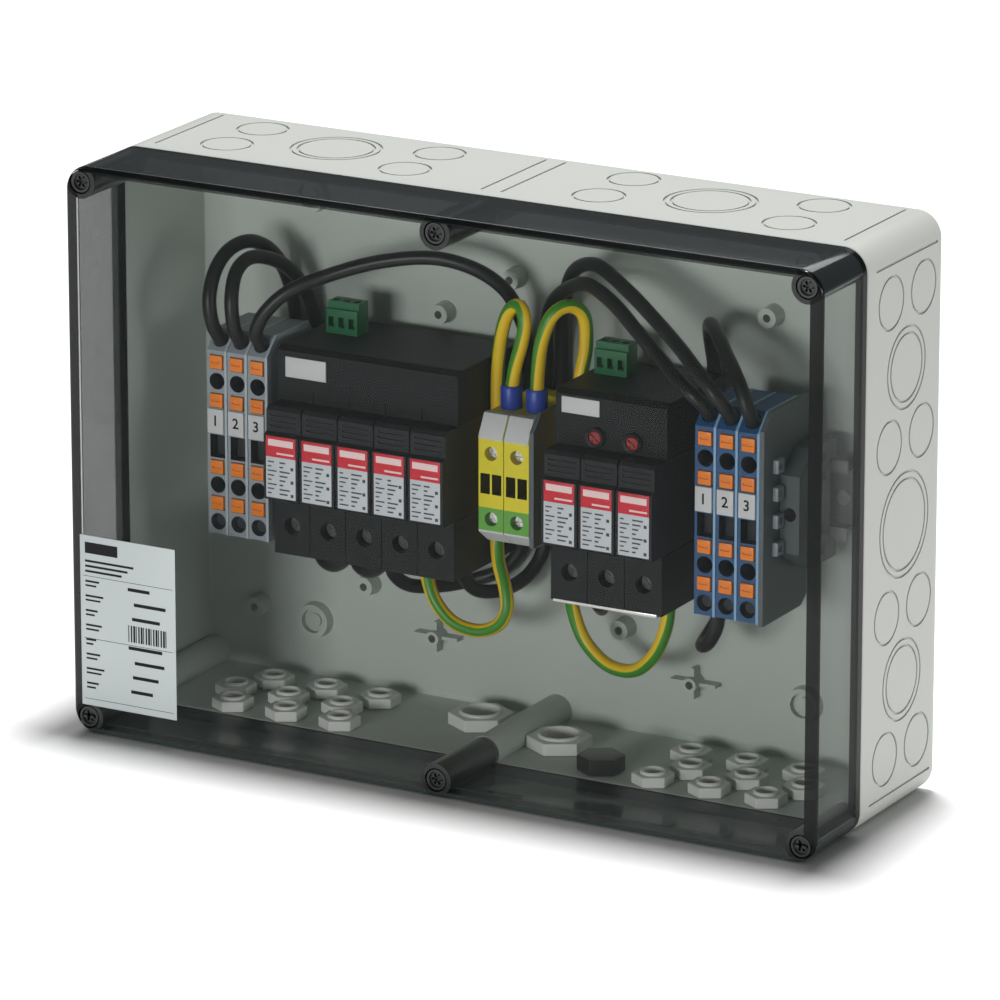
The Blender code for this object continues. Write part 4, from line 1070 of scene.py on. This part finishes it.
def make_spd_marks():
    """Name plates, signal screws and the earth bar of the two devices."""
    plates = (("string_spd", -100, -80, 31.5, 40.5), ("earth_spd", 35, 53, 35, 42))
    for name, left, right, low, high in plates:
        block_piece(f"{name}_name_plate", (left, SPD_UPPER - 0.3, RAIL_Z + low),
                    (right, SPD_UPPER + 0.4, RAIL_Z + high), "enclosure", "device_black",
                    "marker_white", edge=0.15)
    screw_z = RAIL_Z + 26
    for index, x in enumerate((51.3, 69.1), start=1):
        bm = bmesh.new()
        lathe(bm, place(x, 0, screw_z), [(3.1, 63.5), (4.6, 63.5), (4.6, 65.4),
                                         (4.1, 65.8), (3.1, 65.4)], axis="Y")
        piece(f"earth_spd_signal_ring_{index}", bm, "enclosure", "device_black",
              "plug_black")
        make_slotted_screw(f"earth_spd_signal_screw_{index}", x, 65.2, screw_z, 3.0,
                           material="indicator_red", turn=40)
    block_piece("earth_spd_bar", (EARTH_SPD_LEFT + 1.5, SPD_LOWER - 2, RAIL_Z - 47.6),
                (EARTH_SPD_LEFT + 51, SPD_LOWER + 0.7, RAIL_Z - 46.2), "enclosure",
                "zinc_steel", "screw_steel", edge=0.2)


# ---- cable entries

def hexagon(x, depth, top, radius, edge):
    """A six-sided nut blank standing on the floor of the case, with rounded edges."""
    bm = bmesh.new()
    rod(bm, place(x, depth, WALL + 0.3), place(x, depth, top), radius, 6)
    round_edges(bm, edge, 3)
    return bm


def make_entry(name, x, depth, nut_radius, neck_radius, bore, top, in_cad=False):
    """A flanged sleeve through the floor and its hexagonal locknut."""
    centre = place(x, depth, 0)
    flange = nut_radius - 1.2
    bm = bmesh.new()
    lathe(bm, centre, [(bore, 0.2), (flange, 0.2), (flange, 1.2), (neck_radius, 1.2),
                       (neck_radius, top - 0.5), (neck_radius - 0.5, top),
                       (bore + 0.5, top), (bore, top - 0.6)])
    piece(f"{name}_sleeve_turned", bm, "enclosure", "nut_grey",
          replaces=(f"{name}_sleeve",) if in_cad else ())
    nut_top = top - 1.2
    blank = hexagon(x, depth, nut_top, nut_radius, 0.6)
    nut = piece(f"{name}_locknut", blank, "enclosure", "nut_grey",
                replaces=(f"{name}_nut",) if in_cad else ())
    cuts = bmesh.new()
    rod(cuts, place(x, depth, 3), place(x, depth, nut_top + 1), neck_radius + 0.12, 48)
    combine(nut, cuts, "DIFFERENCE")


def make_entries():
    for number, (x, depth) in enumerate(small_entries(), start=1):
        make_entry(f"small_entry_{number:02d}", x, depth, 9.3, 5.5, 4.1, 9.6)
    for side, (x, depth) in LARGE_ENTRIES.items():
        make_entry(f"large_entry_{side}", x, depth, 14.4, 9.6, 8, 10.5, in_cad=True)
    x, depth = VENT_PLUG_AT
    plug = piece("vent_plug_cap", hexagon(x, depth, 11, 10.6, 0.9), "enclosure",
                 "screw_black", replaces=("vent_plug",))
    neck = bmesh.new()
    rod(neck, place(x, depth, 0.5), place(x, depth, 6), 6.6)
    combine(plug, neck, "UNION")


# ---- lid label

def make_rating_label():
    """A plain type plate: a heading bar, ruled lines, fields and a bar pattern."""
    low_x, high_x = 4.6 - WIDTH / 2, 52.5 - WIDTH / 2
    low_z, high_z = 13.0, 90.0
    block_piece("rating_label", (low_x, DEPTH - 0.05, low_z),
                (high_x, DEPTH + 0.22, high_z), "lid", "smoky_lid", "rating_paper",
                edge=0.06)
    bm = bmesh.new()
    face, proud = DEPTH + 0.1, DEPTH + 0.26
    block(bm, (low_x + 2.5, face, high_z - 8), (low_x + 19, proud, high_z - 3))
    for row in range(3):
        z = high_z - 11.5 - 2.3 * row
        block(bm, (low_x + 2.5, face, z - 0.5), (low_x + 27 - 3 * row, proud, z + 0.5))
    fields = (7, 9, 6, 8, 5, 7, 9, 6)
    for row, length in enumerate(fields):
        z = high_z - 21.5 - 6.6 * row
        block(bm, (low_x + 2.5, face, z + 0.4), (low_x + 2.5 + length, proud, z + 1.3))
        block(bm, (low_x + 2.5, face, z - 1.5), (low_x + 1 + length, proud, z - 0.7))
        if row != 3:
            start = low_x + 24 + (row * 3) % 4
            block(bm, (start, face, z - 0.6), (start + 11 + (row * 5) % 7, proud, z + 0.9))
    for bar in range(16):
        x = low_x + 24 + 1.25 * bar
        width = 0.45 + 0.25 * ((bar * 7) % 3)
        block(bm, (x, face, high_z - 45), (x + width, proud, high_z - 37.5))
    piece("rating_label_rules", bm, "lid", "smoky_lid", "print_black")
    bm = bmesh.new()
    for z in (high_z - 18.3, high_z - 46.5, low_z + 3):
        block(bm, (low_x + 1.5, face, z - 0.12), (high_x - 1.5, proud, z + 0.12))
    piece("rating_label_lines", bm, "lid", "smoky_lid", "print_grey")


# ---- assembly

def dress_cad_nodes():
    """Finishes for the CAD pieces that are shown as they are."""
    shown = {"lid_gasket": "gasket", "din_rail": "rail_steel",
             "rail_screw_left": "screw_steel", "rail_screw_right": "screw_steel"}
    for node, material in shown.items():
        mesh = bpy.data.objects[node].data
        mesh.materials.clear()
        mesh.materials.append(finishes[material])


make_camera()
make_finishes()
make_studio()
for wire_name, wire_route in WIRES.items():
    make_wire(wire_name, wire_route)
make_base()
make_lid()
make_lid_screws()
for index in range(3):
    shift = TERMINAL_PITCH * index
    make_terminal("string", index + 1, STRING_TERMINAL_X + shift, "grey")
    make_terminal("return", index + 1, RETURN_TERMINAL_X + shift, "blue")
make_end_cover("return_end_cover", 127.9, 62.5, 46)
make_return_cover_studs(129.9, 62.5)
make_end_cover("earth_end_cover", 17.2, 60, 29)
make_end_bracket(130.2)
for index, terminal_x in enumerate(EARTH_XS, start=1):
    make_earth_terminal(index, terminal_x)
make_spd_base("string_spd", STRING_SPD_LEFT, 5, -87.5)
make_spd_base("earth_spd", EARTH_SPD_LEFT, 3, 44)
make_spd_marks()
make_entries()
make_rating_label()
dress_cad_nodes()
